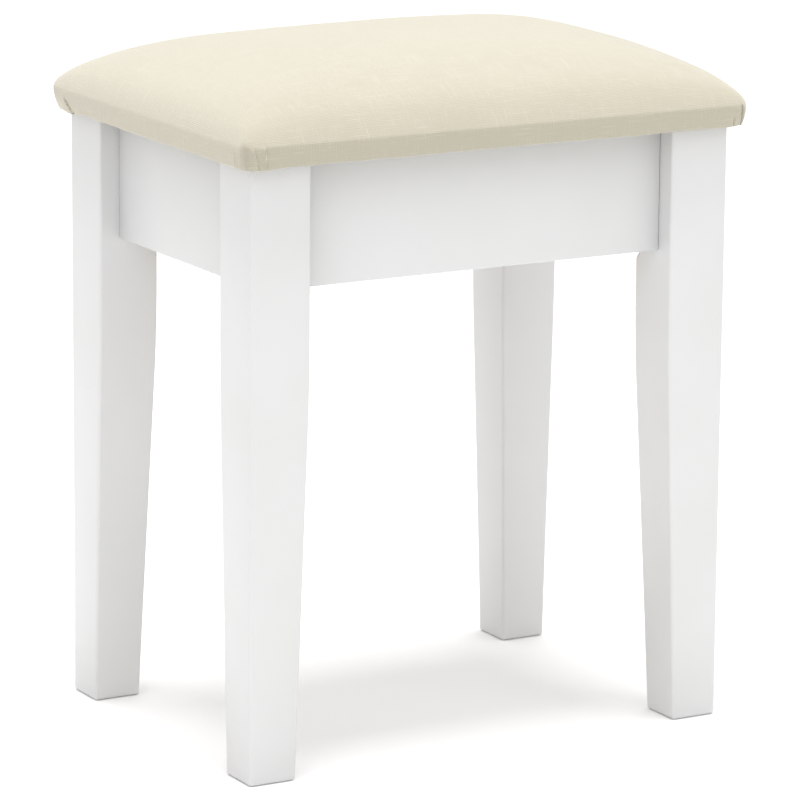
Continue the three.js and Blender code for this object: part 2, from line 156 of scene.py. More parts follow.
def new_material(name: str, **shader: Any) -> tuple[bpy.types.Material, bpy.types.Node]:
    """Starts a material with a principled shader.

    Args:
        name: The material's name.
        **shader: Constant values for the shader's own sockets, with _ for a space.

    Returns:
        The material and its principled shader node.
    """
    material = bpy.data.materials.new(name)
    material.use_nodes = True
    tree = material.node_tree
    tree.nodes.clear()
    values = {key.replace("_", " "): value for key, value in shader.items()}
    surface = add_node(tree, "BsdfPrincipled", values)
    add_node(tree, "OutputMaterial", {"Surface": surface.outputs["BSDF"]})
    return material, surface


class Grain(Enum):
    """The axis that a piece of wood's grain runs along."""

    ALONG_X = 0
    ALONG_Y = 1
    ALONG_Z = 2

    def stretched(self, length: float) -> list[float]:
        """Gives three scales: a length along the grain and 1 across it."""
        return [length if axis == self.value else 1.0 for axis in range(3)]


@dataclass(frozen=True)
class SatinLacquer:
    """White satin lacquer, sprayed over sanded rubberwood in two coats.

    It gives an even white with a soft sheen, a very fine orange peel, and the faintest trace
    of the wood's pores drawn out along the grain.
    """

    grain: Grain
    colour: str = "#CECECE"
    thin_colour: str = "#CBCBCA"
    roughness: float = 0.36
    peel_size_mm: float = 2.2
    pore_width_mm: float = 1.6
    pore_length_mm: float = 60.0
    mottle_size_mm: float = 90.0

    def material(self) -> bpy.types.Material:
        """Builds the lacquer's material.

        Returns:
            The material, whose pores run along one axis of the stool.
        """
        name = f"satin_lacquer_{self.grain.name.lower()}"
        made, surface = new_material(name, IOR=1.5, Coat_Weight=0.12, Coat_Roughness=0.22)
        tree = made.node_tree
        place = add_node(tree, "TexCoord").outputs["Object"]
        stretch = self.grain.stretched(self.pore_width_mm / self.pore_length_mm)
        along = add_node(tree, "Mapping", {"Vector": place, "Scale": stretch})
        layers = (
            (along.outputs["Vector"], self.pore_width_mm, 4.0, 0.6),
            (place, self.peel_size_mm, 2.0, 0.5),
            (place, self.mottle_size_mm, 3.0, 0.5),
        )
        pores, peel, mottle = (
            add_node(
                tree,
                "TexNoise",
                {0: vector, "Scale": 1 / (size * MM), "Detail": detail, "Roughness": rough},
            ).outputs["Fac"]
            for vector, size, detail, rough in layers
        )
        cover = add_node(tree, "MapRange", {"Value": mottle, "From Min": 0.35, "From Max": 0.7})
        tint = add_node(
            tree,
            "Mix",
            {0: cover.outputs[0], 6: srgb(self.colour), 7: srgb(self.thin_colour)},
            data_type="RGBA",
        )
        glossy, dull = self.roughness - 0.04, self.roughness + 0.05
        gloss = add_node(tree, "MapRange", {"Value": pores, "To Min": glossy, "To Max": dull})
        grain = add_node(
            tree, "Bump", {"Height": pores, "Strength": 0.12, "Distance": 0.06 * MM}
        )
        relief = {"Height": peel, "Strength": 0.2, "Distance": 0.05 * MM}
        bump = add_node(tree, "Bump", {**relief, "Normal": grain.outputs[0]})
        finish = {"Base Color": tint.outputs[2], "Roughness": gloss.outputs[0]}
        connect(tree, surface, {**finish, "Normal": bump.outputs[0]})
        return made


@dataclass(frozen=True)
class LinenWeave:
    """Linen-look polyester, plain woven from slubby yarn.

    Warp and weft pass over each other in a checker of small floats. Single threads are thicker
    or paler for a short length, which shows as fine upright and level dashes. Loose fibres give
    a soft pale sheen at low angles.
    """

    colour: str = "#B2AD9D"
    # Painted shade: the hollows between the threads' floats are coloured darker than the yarn.
    hollow_shade_colour: str = "#A7A191"
    slub_colour: str = "#B7B2A3"
    sheen_colour: str = "#FFFBF0"
    # Real yarn is about 0.55 mm apart. It is drawn at twice that, so that it can be seen.
    thread_mm: float = 1.1
    # Share of the thread's spacing that a slub takes up.
    slub_width: float = 0.9
    slub_length_mm: float = 22.0
    sway_mm: float = 0.35
    sway_size_mm: float = 9.0
    shade_size_mm: float = 70.0
    roughness: float = 0.92

    def material(self) -> bpy.types.Material:
        """Builds the fabric's material.

        Returns:
            The material, which reads the piece's own map "cloth", in metres.
        """
        made, surface = new_material(
            "linen_weave",
            Roughness=self.roughness,
            IOR=1.46,
            Specular_IOR_Level=0.25,
            Sheen_Weight=0.8,
            Sheen_Roughness=0.5,
            Sheen_Tint=srgb(self.sheen_colour),
        )
        tree = made.node_tree
        cloth = add_node(tree, "UVMap", uv_map="cloth").outputs["UV"]
        sway, shade = (
            add_node(tree, "TexNoise", {"Vector": cloth, "Scale": 1 / (size * MM)}).outputs
            for size in (self.sway_size_mm, self.shade_size_mm)
        )
        wavy = add_node(
            tree,
            "VectorMath",
            {0: sway["Color"], 1: (self.sway_mm * MM,) * 3, 2: cloth},
            operation="MULTIPLY_ADD",
        )
        parts = add_node(tree, "SeparateXYZ", {"Vector": wavy.outputs[0]})
        turns = math.pi / (self.thread_mm * MM)
        ridges, slubs = [], []
        for axis in ("X", "Y"):
            spin = {0: parts.outputs[axis], 1: turns}
            phase = add_node(tree, "Math", spin, operation="MULTIPLY")
            ridge = add_node(tree, "Math", {0: phase.outputs[0]}, operation="SINE")
            ridges.append(ridge.outputs[0])
            sizes = (self.slub_length_mm, self.thread_mm * self.slub_width)
            along, across = (1 / (size * MM) for size in (sizes if axis == "X" else sizes[::-1]))
            lay = add_node(tree, "Mapping", {"Vector": cloth, "Scale": (along, across, 1.0)})
            streak = add_node(
                tree, "TexNoise", {"Vector": lay.outputs[0], "Scale": 1.0, "Detail": 2.0}
            )
            thick = {"Value": streak.outputs["Fac"], "From Min": 0.58, "From Max": 0.78}
            slubs.append(add_node(tree, "MapRange", thick).outputs[0])
        # The product of the two sines is positive where the warp floats and negative where
        # the weft does, so its size is the height of whichever thread is on top.
        checker = add_node(tree, "Math", {0: ridges[0], 1: ridges[1]}, operation="MULTIPLY")
        floats = add_node(tree, "Math", {0: checker.outputs[0]}, operation="ABSOLUTE").outputs[0]
        slub = add_node(tree, "Math", {0: slubs[0], 1: slubs[1]}, operation="MAXIMUM").outputs[0]
        # The yarn starts from the painted shade of the hollows and takes the thread's own colour
        # where a thread floats high.
        yarn = srgb(self.hollow_shade_colour)
        for share, colour in ((floats, self.colour), (slub, self.slub_colour)):
            blend = {0: share, 6: yarn, 7: srgb(colour)}
            yarn = add_node(tree, "Mix", blend, data_type="RGBA").outputs[2]
        tone = add_node(tree, "MapRange", {"Value": shade["Fac"], "To Min": 0.97, "To Max": 1.03})
        toned = add_node(
            tree, "VectorMath", {0: yarn, "Scale": tone.outputs[0]}, operation="SCALE"
        )
        height = add_node(tree, "Math", {0: slub, 1: 0.3, 2: floats}, operation="MULTIPLY_ADD")
        relief = {"Height": height.outputs[0], "Strength": 0.6, "Distance": 0.2 * MM}
        bump = add_node(tree, "Bump", relief)
        connect(tree, surface, {"Base Color": toned.outputs[0], "Normal": bump.outputs[0]})
        return made


@dataclass(frozen=True)
class BareWood:
    """Sanded wood left without a finish: matt, with grain streaks and darker pores.

    Its grain runs along an axis, turned about the vertical by `turn`.
    """

    name: str
    grain: Grain
    pale: str
    dark: str
    ring_mm: float
    pore_mm: float = 0.6
    roughness: float = 0.72
    turn: float = 0.0
    streak_length: float = 16.0

    def material(self) -> bpy.types.Material:
        """Builds the bare wood's material.

        Returns:
            The material.
        """
        made, surface = new_material(self.name, Roughness=self.roughness, IOR=1.5)
        tree = made.node_tree
        place = add_node(tree, "TexCoord").outputs["Object"]
        turned_back = {"Rotation": (0, 0, self.turn)}
        stretch = {"Vector": place, "Scale": self.grain.stretched(self.streak_length)}
        along = add_node(tree, "Mapping", {**stretch, **turned_back}, vector_type="TEXTURE")
        figure = {"Detail": 6.0, "Roughness": 0.55, "Distortion": 0.6}
        rings, pores = (
            add_node(
                tree, "TexNoise", {0: along.outputs[0], "Scale": 1 / (size * MM), **more}
            ).outputs["Fac"]
            for size, more in ((self.ring_mm, figure), (self.pore_mm, {}))
        )
        streak = add_node(tree, "Math", {0: pores, 1: 0.35, 2: rings}, operation="MULTIPLY_ADD")
        streak = streak.outputs[0]
        depth = add_node(tree, "MapRange", {"Value": streak, "From Min": 0.5, "From Max": 0.85})
        tint = add_node(
            tree,
            "Mix",
            {0: depth.outputs[0], 6: srgb(self.pale), 7: srgb(self.dark)},
            data_type="RGBA",
        )
        bump = add_node(tree, "Bump", {"Height": streak, "Strength": 0.25, "Distance": 0.1 * MM})
        connect(tree, surface, {"Base Color": tint.outputs[2], "Normal": bump.outputs[0]})
        return made


@dataclass(frozen=True)
class ZincPlate:
    """Steel with bright zinc plating: a soft metal shine, clouded by handling."""

    name: str = "bright_zinc_plate"
    colour: str = "#C3C5C6"
    roughness: float = 0.32
    cloud_mm: float = 4.0

    def material(self) -> bpy.types.Material:
        """Builds the plated steel's material.

        Returns:
            The material.
        """
        made, surface = new_material(self.name, Base_Color=srgb(self.colour), Metallic=1.0)
        tree = made.node_tree
        place = add_node(tree, "TexCoord").outputs["Object"]
        size = {"Scale": 1 / (self.cloud_mm * MM), "Detail": 4.0}
        cloud = add_node(tree, "TexNoise", {"Vector": place, **size}).outputs["Fac"]
        bright, dull = self.roughness - 0.08, self.roughness + 0.12
        gloss = add_node(tree, "MapRange", {"Value": cloud, "To Min": bright, "To Max": dull})
        connect(tree, surface, {"Roughness": gloss.outputs[0]})
        return made


# ------------------------------------------------------------------ workshop helpers


@contextmanager
def edit_mode(piece: bpy.types.Object, select_mode: str) -> Iterator[None]:
    """Opens a piece in edit mode with nothing selected, and leaves edit mode at the end.

    Args:
        piece: The mesh object to edit.
        select_mode: "VERT", "EDGE" or "FACE".

    Yields:
        Nothing.
    """
    select_only(piece)
    bpy.ops.object.mode_set(mode="EDIT")
    bpy.ops.mesh.select_mode(type=select_mode)
    bpy.ops.mesh.select_all(action="DESELECT")
    yield
    bpy.ops.object.mode_set(mode="OBJECT")


def select_only(*pieces: bpy.types.Object) -> None:
    """Selects some pieces and nothing else, with the first of them active.

    Args:
        *pieces: The pieces.
    """
    bpy.ops.object.select_all(action="DESELECT")
    for piece in pieces:
        piece.select_set(True)
    bpy.context.view_layer.objects.active = pieces[0]


def pick(piece: bpy.types.Object, kind: str, wanted: Callable[[Vector], bool]) -> None:
    """Selects, in edit mode, the vertices, edges or faces whose corners are all wanted.

    Args:
        piece: The mesh object in edit mode.
        kind: "verts", "edges" or "faces".
        wanted: Says for a point whether it counts.
    """
    mesh = bmesh.from_edit_mesh(piece.data)
    for element in getattr(mesh, kind):
        corners = [element] if kind == "verts" else element.verts
        element.select = all(wanted(v.co) for v in corners)
    mesh.select_flush_mode()
    bmesh.update_edit_mesh(piece.data)


def apply_modifier(piece: bpy.types.Object, kind: str, **settings: Any) -> None:
    """Adds a modifier with its settings and applies it.

    Args:
        piece: The mesh object.
        kind: The modifier's type name.
        **settings: The modifier's properties.
    """
    modifier = piece.modifiers.new(kind.title(), kind)
    for name, value in settings.items():
        setattr(modifier, name, value)
    with bpy.context.temp_override(object=piece, active_object=piece):
        bpy.ops.object.modifier_apply(modifier=modifier.name)


def ease_edges(
    piece: bpy.types.Object, width: float, segments: int, degrees: float = 30.0
) -> None:
    """Rounds every edge of a piece that is sharper than an angle.

    Args:
        piece: The mesh object.
        width: The rounding's width.
        segments: The rounding's number of steps.
        degrees: The angle.
    """
    limit = {"limit_method": "ANGLE", "angle_limit": math.radians(degrees)}
    apply_modifier(piece, "BEVEL", width=width, segments=segments, **limit)


def cube(name: str, low: Vector, high: Vector) -> bpy.types.Object:
    """Adds a block, with its place in its mesh.

    Args:
        name: The piece's name.
        low: Its lowest corner.
        high: Its highest corner.

    Returns:
        The new piece.
    """
    bpy.ops.object.select_all(action="DESELECT")
    bpy.ops.mesh.primitive_cube_add(size=1.0, location=(low + high) / 2, scale=high - low)
    return settle(bpy.context.active_object, name)


def bar(
    name: str, radius: float, start: Vector, end: Vector, sides: int = 24
) -> bpy.types.Object:
    """Adds a round bar, with its place in its mesh.

    Args:
        name: The piece's name.
        radius: Its radius.
        start: The middle of one end.
        end: The middle of the other end.
        sides: Number of sides.

    Returns:
        The new piece.
    """
    bpy.ops.object.select_all(action="DESELECT")
    bpy.ops.mesh.primitive_cylinder_add(
        vertices=sides,
        radius=radius,
        depth=(end - start).length,
        location=(start + end) / 2,
        rotation=UP.rotation_difference(end - start).to_euler(),
    )
    return settle(bpy.context.active_object, name)


def settle(piece: bpy.types.Object, name: str) -> bpy.types.Object:
    """Names a piece and moves its object's place, turn and size into its mesh.

    Args:
        piece: The mesh object.
        name: Its new name.

    Returns:
        The same piece.
    """
    bpy.context.view_layer.update()
    piece.data.transform(piece.matrix_world)
    piece.matrix_world = Matrix.Identity(4)
    piece.name = name
    piece.data.name = name
    return piece


def cut_away(
    piece: bpy.types.Object, tools: Sequence[bpy.types.Object], operation: str = "DIFFERENCE"
) -> None:
    """Cuts a piece with every tool's shape and removes the tools.

    Args:
        piece: The piece to cut.
        tools: Closed cutters.
        operation: "DIFFERENCE" to cut the shapes out, or "INTERSECT" to keep what is in them.
    """
    for tool in tools:
        apply_modifier(piece, "BOOLEAN", operation=operation, solver="EXACT", object=tool)
        bpy.data.meshes.remove(tool.data)


def turned(name: str, profile: Sequence[tuple[float, float]], sides: int) -> bpy.types.Object:
    """Turns a profile into a closed round piece that stands on the origin, along +Z.

    Args:
        name: The piece's name.
        profile: Pairs of radius and height, from the bottom up.
        sides: Number of sides.

    Returns:
        The new piece.
    """
    bpy.ops.object.select_all(action="DESELECT")
    radius, height = profile[0]
    bpy.ops.mesh.primitive_circle_add(
        vertices=sides, radius=radius, fill_type="NGON", location=(0, 0, height)
    )
    piece = settle(bpy.context.active_object, name)
    with edit_mode(piece, "FACE"):
        bpy.ops.mesh.select_all(action="SELECT")
        for wide, high in profile[1:]:
            step = {"value": (0, 0, high - height)}
            bpy.ops.mesh.extrude_region_move(TRANSFORM_OT_translate=step)
            share = wide / radius
            bpy.ops.transform.resize(value=(share, share, 1), center_override=(0, 0, high))
            radius, height = wide, high
        bpy.ops.mesh.select_all(action="SELECT")
        bpy.ops.mesh.normals_make_consistent(inside=False)
    return piece


def thread(low: float, high: float, radius: float, pitch: float) -> list[tuple[float, float]]:
    """Lists a thread's ridges and grooves.

    Args:
        low: Height of the thread's start.
        high: Height of its end.
        radius: Radius of its ridges.
        pitch: Distance between ridges, or as near to it as comes out even.

    Returns:
        Pairs of radius and height, from the bottom up.
    """
    turns = round((high - low) / pitch)
    step = (high - low) / turns
    ridges = [(radius, low + i * step) for i in range(turns + 1)]
    grooves = [(radius - 0.45 * pitch, low + (i + 0.5) * step) for i in range(turns)]
    return sorted(ridges + grooves, key=lambda point: point[1])


def stand(piece: bpy.types.Object, start: Vector, way: Vector) -> bpy.types.Object:
    """Moves a piece that stands along +Z, so that it runs from a point in a direction.

    Args:
        piece: The mesh object.
        start: Where its origin goes.
        way: Where its +Z points.

    Returns:
        The same piece.
    """
    turn = UP.rotation_difference(way).to_matrix().to_4x4()
    piece.data.transform(Matrix.Translation(start) @ turn)
    return piece


def smooth(piece: bpy.types.Object, degrees: float = 30.0) -> None:
    """Shades a piece smooth, apart from edges sharper than an angle."""
    select_only(piece)
    bpy.ops.object.shade_smooth_by_angle(angle=math.radians(degrees))


def moved_copy(piece: bpy.types.Object, name: str, move: Matrix) -> bpy.types.Object:
    """Copies a piece, with a mesh of its own.

    Args:
        piece: The mesh object.
        name: The copy's name.
        move: How the copy's mesh is moved.

    Returns:
        The copy.
    """
    copy = piece.copy()
    copy.data = piece.data.copy()
    copy.data.transform(move)
    copy.name = name
    copy.data.name = name
    bpy.context.scene.collection.objects.link(copy)
    return copy


def dress(piece: bpy.types.Object, material: bpy.types.Material) -> None:
    """Gives a piece one material all over."""
    piece.data.materials.clear()
    piece.data.materials.append(material)


def refinish(node: bpy.types.Object, material: bpy.types.Material) -> None:
    """Gives a CAD node that stays in view its finish."""
    for slot in node.material_slots:
        slot.material = material


def hand_over(piece: bpy.types.Object, nodes: Sequence[str]) -> None:
    """Puts a piece on the stool's body in place of its CAD nodes and reports it.

    Args:
        piece: The finished piece.
        nodes: The CAD nodes that it stands for.
    """
    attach(piece, BODY)
    if nodes:
        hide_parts(*nodes)
    LOG.info("%s: %d faces, stands for %s", piece.name, len(piece.data.polygons), list(nodes))


def corner_move(corner: str, outer: Vector) -> Matrix:
    """The move from a corner's own frame to its place on the stool.

    Args:
        corner: One of CORNERS.
        outer: The front left leg's outer corner, on the floor.

    Returns:
        A quarter turn for each corner after the first, then a step to that corner.
    """
    turns = CORNERS.index(corner)
    sign_x = 1 if corner.endswith("left") else -1
    sign_y = 1 if corner.startswith("front") else -1
    step = Matrix.Translation((outer.x * sign_x, outer.y * sign_y, 0))
    return step @ Matrix.Rotation(turns * QUARTER_TURN, 4, "Z")


# ------------------------------------------------------------------ frame of the stool


@dataclass
class CornerPart:
    """What is modelled once, in the front left corner's own frame, and copied to all four.

    That frame's origin is on the floor under the leg's outer corner, and its +X and +Y run
    along the stool's front and left sides.
    """

    outer: Vector = field(
        default_factory=lambda: Vector((*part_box("leg_front_left")[0].xy, 0)), kw_only=True
    )

    def own_box(self, kind: str, ending: str = "") -> tuple[Vector, Vector]:
        """Gives the box of the front left corner's node in the corner's own frame."""
        low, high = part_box(f"{kind}_front_left{ending}")
        return low - self.outer, high - self.outer

    def spread(
        self,
        piece: bpy.types.Object,
        name: str,
        node: str,
        slot: str,
        finishes: Sequence[bpy.types.Material],
        ending: str = "",
    ) -> None:
        """Copies a piece to the four corners, hands the copies over and removes it.

        Args:
            piece: The finished shape in the corner's own frame.
            name: How the copies' names begin.
            node: How the names of the CAD nodes begin.
            slot: The record's material slot. Not used.
            finishes: Materials, used in turn from corner to corner.
            ending: How the names end, after the corner.
        """
        for turns, corner in enumerate(CORNERS):
            move = corner_move(corner, self.outer)
            copy = moved_copy(piece, f"{name}_{corner}{ending}", move)
            dress(copy, finishes[turns % len(finishes)])
            hand_over(copy, [f"{node}_{corner}{ending}"])
        bpy.data.meshes.remove(piece.data)


@dataclass
class Legs(CornerPart):
    """The four legs: upright outer faces, and inner faces that bend into a taper."""

    foot_side: float = 32.5 * MM
    bend_height: float = 250 * MM
    bend_length: float = 66 * MM
    bend_steps: int = 14
    corner_flat: float = 14 * MM
    edge_radius: float = 2 * MM
    edge_steps: int = 4

    @property
    def side(self) -> float:
        """Side of the square section at the frame."""
        low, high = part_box("leg_front_left")
        return high.x - low.x

    def side_at(self, z: float) -> float:
        """Gives the side of the square section at a height.

        Args:
            z: The height.

        Returns:
            The side, in metres.
        """
        slope = (self.side - self.foot_side) / self.bend_height
        t = min(max((z - self.bend_height) / self.bend_length + 0.5, 0.0), 1.0)
        if t == 0:
            return self.foot_side + slope * z
        return self.side - slope * self.bend_length * (1 - t) ** 2 / 2

    def shape(self) -> bpy.types.Object:
        """Models one leg with its outer corner at the origin.

        Returns:
            The leg, drilled and shaded.
        """
        side, top = self.side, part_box("leg_front_left")[1].z
        leg = cube("leg", ORIGIN, Vector((side, side, top)))
        apron_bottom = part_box("apron_front")[0].z
        start, steps = self.bend_height - self.bend_length / 2, self.bend_steps
        levels = [start + self.bend_length * i / steps for i in range(steps + 1)]
        with edit_mode(leg, "VERT"):
            for z in (*levels, apron_bottom):
                bpy.ops.mesh.select_all(action="SELECT")
                bpy.ops.mesh.bisect(plane_co=(0, 0, z), plane_no=(0, 0, 1))
            for z in (0.0, *levels):
                pick(leg, "verts", lambda co, z=z: abs(co.z - z) < NEAR)
                share = self.side_at(z) / side
                bpy.ops.transform.resize(value=(share, share, 1), center_override=(0, 0, z))
        with edit_mode(leg, "EDGE"):
            inner = Vector((side, side, apron_bottom)) - Vector((NEAR,) * 3)
            pick(leg, "edges", lambda co: all(co[i] > inner[i] for i in range(3)))
            bpy.ops.mesh.bevel(offset=self.corner_flat, offset_type="WIDTH", segments=1)
        ease_edges(leg, self.edge_radius, self.edge_steps)
        cut_away(leg, self.drills())
        smooth(leg)
        return leg

    def drills(self) -> list[bpy.types.Object]:
        """Makes the cutters for the holes of the front left leg, in its own frame.

        Returns:
            One cutter for each dowel and one for the bolt.
        """
        tools = []
        for axis, end in enumerate(ENDS):
            for level in LEVELS:
                low, high = self.own_box("dowel", f"_{end}_{level}")
                radius = (high.z - low.z) / 2 + HOLE_CLEARANCE
                start, stop = (low + high) / 2, (low + high) / 2
                start[axis] = low[axis] - HOLE_CLEARANCE
                stop[axis] = high[axis]
                tools.append(bar("drill", radius, start, stop))
        low, high = self.own_box("hanger_bolt")
        radius = (high.z - low.z) / 2 + HOLE_CLEARANCE
        low.z = high.z = (low.z + high.z) / 2
        tools.append(bar("drill", radius, low, high))
        return tools

    def build(self, lacquer: bpy.types.Material) -> None:
        """Models, copies and dresses the four legs.

        Args:
            lacquer: The paint.
        """
        self.spread(self.shape(), "tapered_leg", "leg", "white_paint", [lacquer])


@dataclass
class Aprons:
    """The four boards between the legs, with eased lower edges."""

    edge_radius: float = 1.5 * MM
    edge_steps: int = 5
    arris: float = 0.4 * MM
    sharper_than: float = 60.0
    longer_than: float = 10 * MM
    dowel_radius: float = 4 * MM
    screw_radius: float = 2 * MM

    def build(self, along_x: bpy.types.Material, along_y: bpy.types.Material) -> None:
        """Models and dresses the four aprons.

        Args:
            along_x: The paint with its grain along the long side.
            along_y: The paint with its grain along the short side.
        """
        for index, side in enumerate(SIDES):
            low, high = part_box(f"apron_{side}")
            apron = cube(f"painted_apron_{side}", low, high)
            with edit_mode(apron, "EDGE"):
                along = index % 2
                pick(apron, "edges", lambda co: co.z < low.z + NEAR)
                mesh = bmesh.from_edit_mesh(apron.data)
                for edge in mesh.edges:
                    run = edge.verts[0].co - edge.verts[1].co
                    edge.select = edge.select and abs(run[along]) > self.longer_than
                mesh.select_flush_mode()
                bmesh.update_edit_mesh(apron.data)
                bpy.ops.mesh.bevel(
                    offset=self.edge_radius, offset_type="OFFSET", segments=self.edge_steps
                )
            ease_edges(apron, self.arris, 2, self.sharper_than)
            cut_away(apron, self.drills(low, high))
            smooth(apron)
            dress(apron, along_y if index % 2 else along_x)
            hand_over(apron, [f"apron_{side}"])

    def drills(self, low: Vector, high: Vector) -> list[bpy.types.Object]:
        """Makes the cutters for the dowels and screws that reach into one apron.

        Args:
            low: The apron's lowest corner.
            high: The apron's highest corner.

        Returns:
            One cutter for each of them.
        """
        tools = []
        for (corner, end), dowels in DOWELS.items():
            radius = self.screw_radius
            for node in (f"block_screw_{corner}_{end}", *dowels):
                first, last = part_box(node)
                if all(first[i] < high[i] and last[i] > low[i] for i in range(3)):
                    axis = max(range(3), key=lambda i: last[i] - first[i])
                    start, stop = (first + last) / 2, (first + last) / 2
                    start[axis] = first[axis] - HOLE_CLEARANCE
                    stop[axis] = last[axis] + HOLE_CLEARANCE
                    tools.append(bar("drill", radius, start, stop))
                radius = self.dowel_radius + HOLE_CLEARANCE
        return tools


@dataclass
class CornerBlocks(CornerPart):
    """The sawn blocks that are glued and screwed across the frame's inner corners."""

    thickness: float = 29 * MM
    arris: float = 0.8 * MM
    bolt_hole: float = 4.3 * MM
    head_pocket: float = 4.3 * MM
    screw_hole: float = 2.3 * MM
    head_depth: float = 2.7 * MM
    sides: int = 32

    def build(self, woods: Sequence[bpy.types.Material]) -> None:
        """Models and copies the blocks.

        Args:
            woods: The bare wood with its grain along one diagonal, then along the other.
        """
        low, high = self.own_box("corner_block")
        block = cube("block", low, high)
        far = low.x + high.x
        near = far - self.thickness * math.sqrt(2)
        with edit_mode(block, "VERT"):
            for level, inner in ((near, True), (far, False)):
                bpy.ops.mesh.select_all(action="SELECT")
                bpy.ops.mesh.bisect(
                    plane_co=(level / 2, level / 2, 0),
                    plane_no=(1, 1, 0),
                    use_fill=True,
                    clear_inner=inner,
                    clear_outer=not inner,
                )
        ease_edges(block, self.arris, 2)
        cut_away(block, self.drills(near / 2, far / 2, low.z))
        smooth(block)
        self.spread(block, "sawn_corner_block", "corner_block", "block_wood", woods)

    def drills(self, near: float, far: float, bottom: float) -> list[bpy.types.Object]:
        """Makes the cutters for the bolt's hole and the screws' pockets and holes.

        Args:
            near: Where the near face crosses the corner's diagonal, along X and along Y.
            far: The same for the far face.
            bottom: Height of the block's lower face.

        Returns:
            The cutters in the corner's own frame.
        """
        low, high = self.own_box("hanger_bolt")
        middle = (low.z + high.z) / 2
        start = Vector((near - PAST, near - PAST, middle))
        stop = Vector((far + PAST, far + PAST, middle))
        tools = [bar("drill", self.bolt_hole, start, stop, self.sides)]
        screws = (("block_screw", "_first", 1, 1), ("block_screw", "_second", 0, 1))
        for kind, ending, axis, head_side in (*screws, ("seat_screw", "", 2, 0)):
            ends = self.own_box(kind, ending)
            centre = (ends[0] + ends[1]) / 2
            head, tip, outside = centre.copy(), centre.copy(), centre.copy()
            way = -1 if head_side else 1
            top = ends[head_side][axis]
            outside[axis] = bottom - PAST if axis == 2 else top - way * self.thickness
            head[axis] = top + way * self.head_depth
            tip[axis] = ends[1 - head_side][axis] + way * PAST
            tools.append(bar("drill", self.head_pocket, outside, head, self.sides))
            tools.append(bar("drill", self.screw_hole, outside, tip))
        return tools


@dataclass
class BoltedJoints(CornerPart):
    """The threaded hanger bolts, with the washers and nuts that pull the legs tight."""

    pitch: float = 1.25 * MM
    wood_pitch: float = 3.0 * MM
    in_leg: float = 24 * MM
    point_length: float = 5 * MM
    point_radius: float = 0.5 * MM
    # Shares of the bolt's radius where the wood thread starts and at the blunt end.
    neck: float = 0.8
    blunt_end: float = 0.75
    # Plain lengths before and after the threads.
    plain: float = 1 * MM
    collar: float = 3 * MM
    past_nut: float = 4 * MM
    nut_thickness: float = 6.5 * MM
    nut_across: float = 13 * MM
    # How steeply the nut's corners are cut, and how much wider than them the cutter is.
    chamfer_slope: float = 0.58
    barrel_spare: float = 1.02
    washer_thickness: float = 1.6 * MM
    washer_edge: float = 0.25 * MM
    sides: int = 28
    round_sides: int = 48
    hole_sides: int = 32
    inward: Vector = field(default_factory=lambda: Vector((1, 1, 0)).normalized())

    def on_diagonal(self, node: str) -> float:
        """Distance of a node's middle from the outer corner, along the corner's diagonal."""
        low, high = self.own_box(node)
        return (low.x + high.x) / 2 * math.sqrt(2)

    def at(self, distance: float) -> Vector:
        """The point on the bolt's line at a distance from the outer corner."""
        low, high = self.own_box("hanger_bolt")
        return self.inward * distance + Vector((0, 0, (low.z + high.z) / 2))

    def build(self, zinc: bpy.types.Material) -> None:
        """Models and copies the bolts, washers and nuts.

        Args:
            zinc: The plated steel.
        """
        low, high = self.own_box("hanger_bolt")
        radius = (high.z - low.z) / 2
        hole = radius + HOLE_CLEARANCE
        nut_start = self.on_diagonal("nut") - self.nut_thickness / 2
        start = low.x * math.sqrt(2)
        end = nut_start + self.nut_thickness + self.past_nut
        bolt = stand(self.bolt(radius, end - start), self.at(start), self.inward)
        smooth(bolt)
        self.spread(bolt, "threaded_bolt", "hanger_bolt", "zinc_steel", [zinc])

        low, high = self.own_box("washer")
        wide = (high.z - low.z) / 2
        place = self.at(self.on_diagonal("washer") - self.washer_thickness / 2)
        washer = self.pierced("washer", wide, self.washer_thickness, hole, self.round_sides)
        ease_edges(washer, self.washer_edge, 2)
        smooth(stand(washer, place, self.inward))
        self.spread(washer, "flat_washer", "washer", "zinc_steel", [zinc])

        corner = self.nut_across / math.sqrt(3)
        nut = self.pierced("nut", corner, self.nut_thickness, hole, 6)
        flat, cut = self.nut_across / 2, (corner - self.nut_across / 2) * self.chamfer_slope
        top, wide = self.nut_thickness, corner * self.barrel_spare
        barrel = [(flat, 0), (wide, cut), (wide, top - cut), (flat, top)]
        cut_away(nut, [turned("barrel", barrel, self.round_sides)], "INTERSECT")
        smooth(stand(nut, self.at(nut_start), self.inward), 20)
        self.spread(nut, "chamfered_nut", "nut", "zinc_steel", [zinc])

    def bolt(self, radius: float, length: float) -> bpy.types.Object:
        """Models the bolt along +Z: wood thread, plain collar, then machine thread.

        Args:
            radius: The bolt's radius.
            length: Its length.

        Returns:
            The bolt, with its point on the origin.
        """
        plain, in_leg = self.plain, self.in_leg
        profile = [(self.point_radius, 0.0), (radius * self.neck, self.point_length)]
        wood = (self.point_length + plain, in_leg - self.collar, radius, self.wood_pitch)
        machine = (in_leg + plain, length - plain, radius, self.pitch)
        profile += [*thread(*wood), (radius, in_leg), *thread(*machine)]
        return turned("bolt", [*profile, (radius * self.blunt_end, length)], self.sides)

    def pierced(
        self, name: str, radius: float, thickness: float, hole: float, sides: int
    ) -> bpy.types.Object:
        """Models a plate on the origin with a round hole through it, along +Z.

        Args:
            name: The plate's name.
            radius: Its radius, to its corners.
            thickness: Its thickness.
            hole: The hole's radius.
            sides: The plate's number of sides.

        Returns:
            The plate.
        """
        plate = bar(name, radius, ORIGIN, UP * thickness, sides)
        drill = bar("drill", hole, UP * -thickness, UP * (2 * thickness), self.hole_sides)
        cut_away(plate, [drill])
        return plate


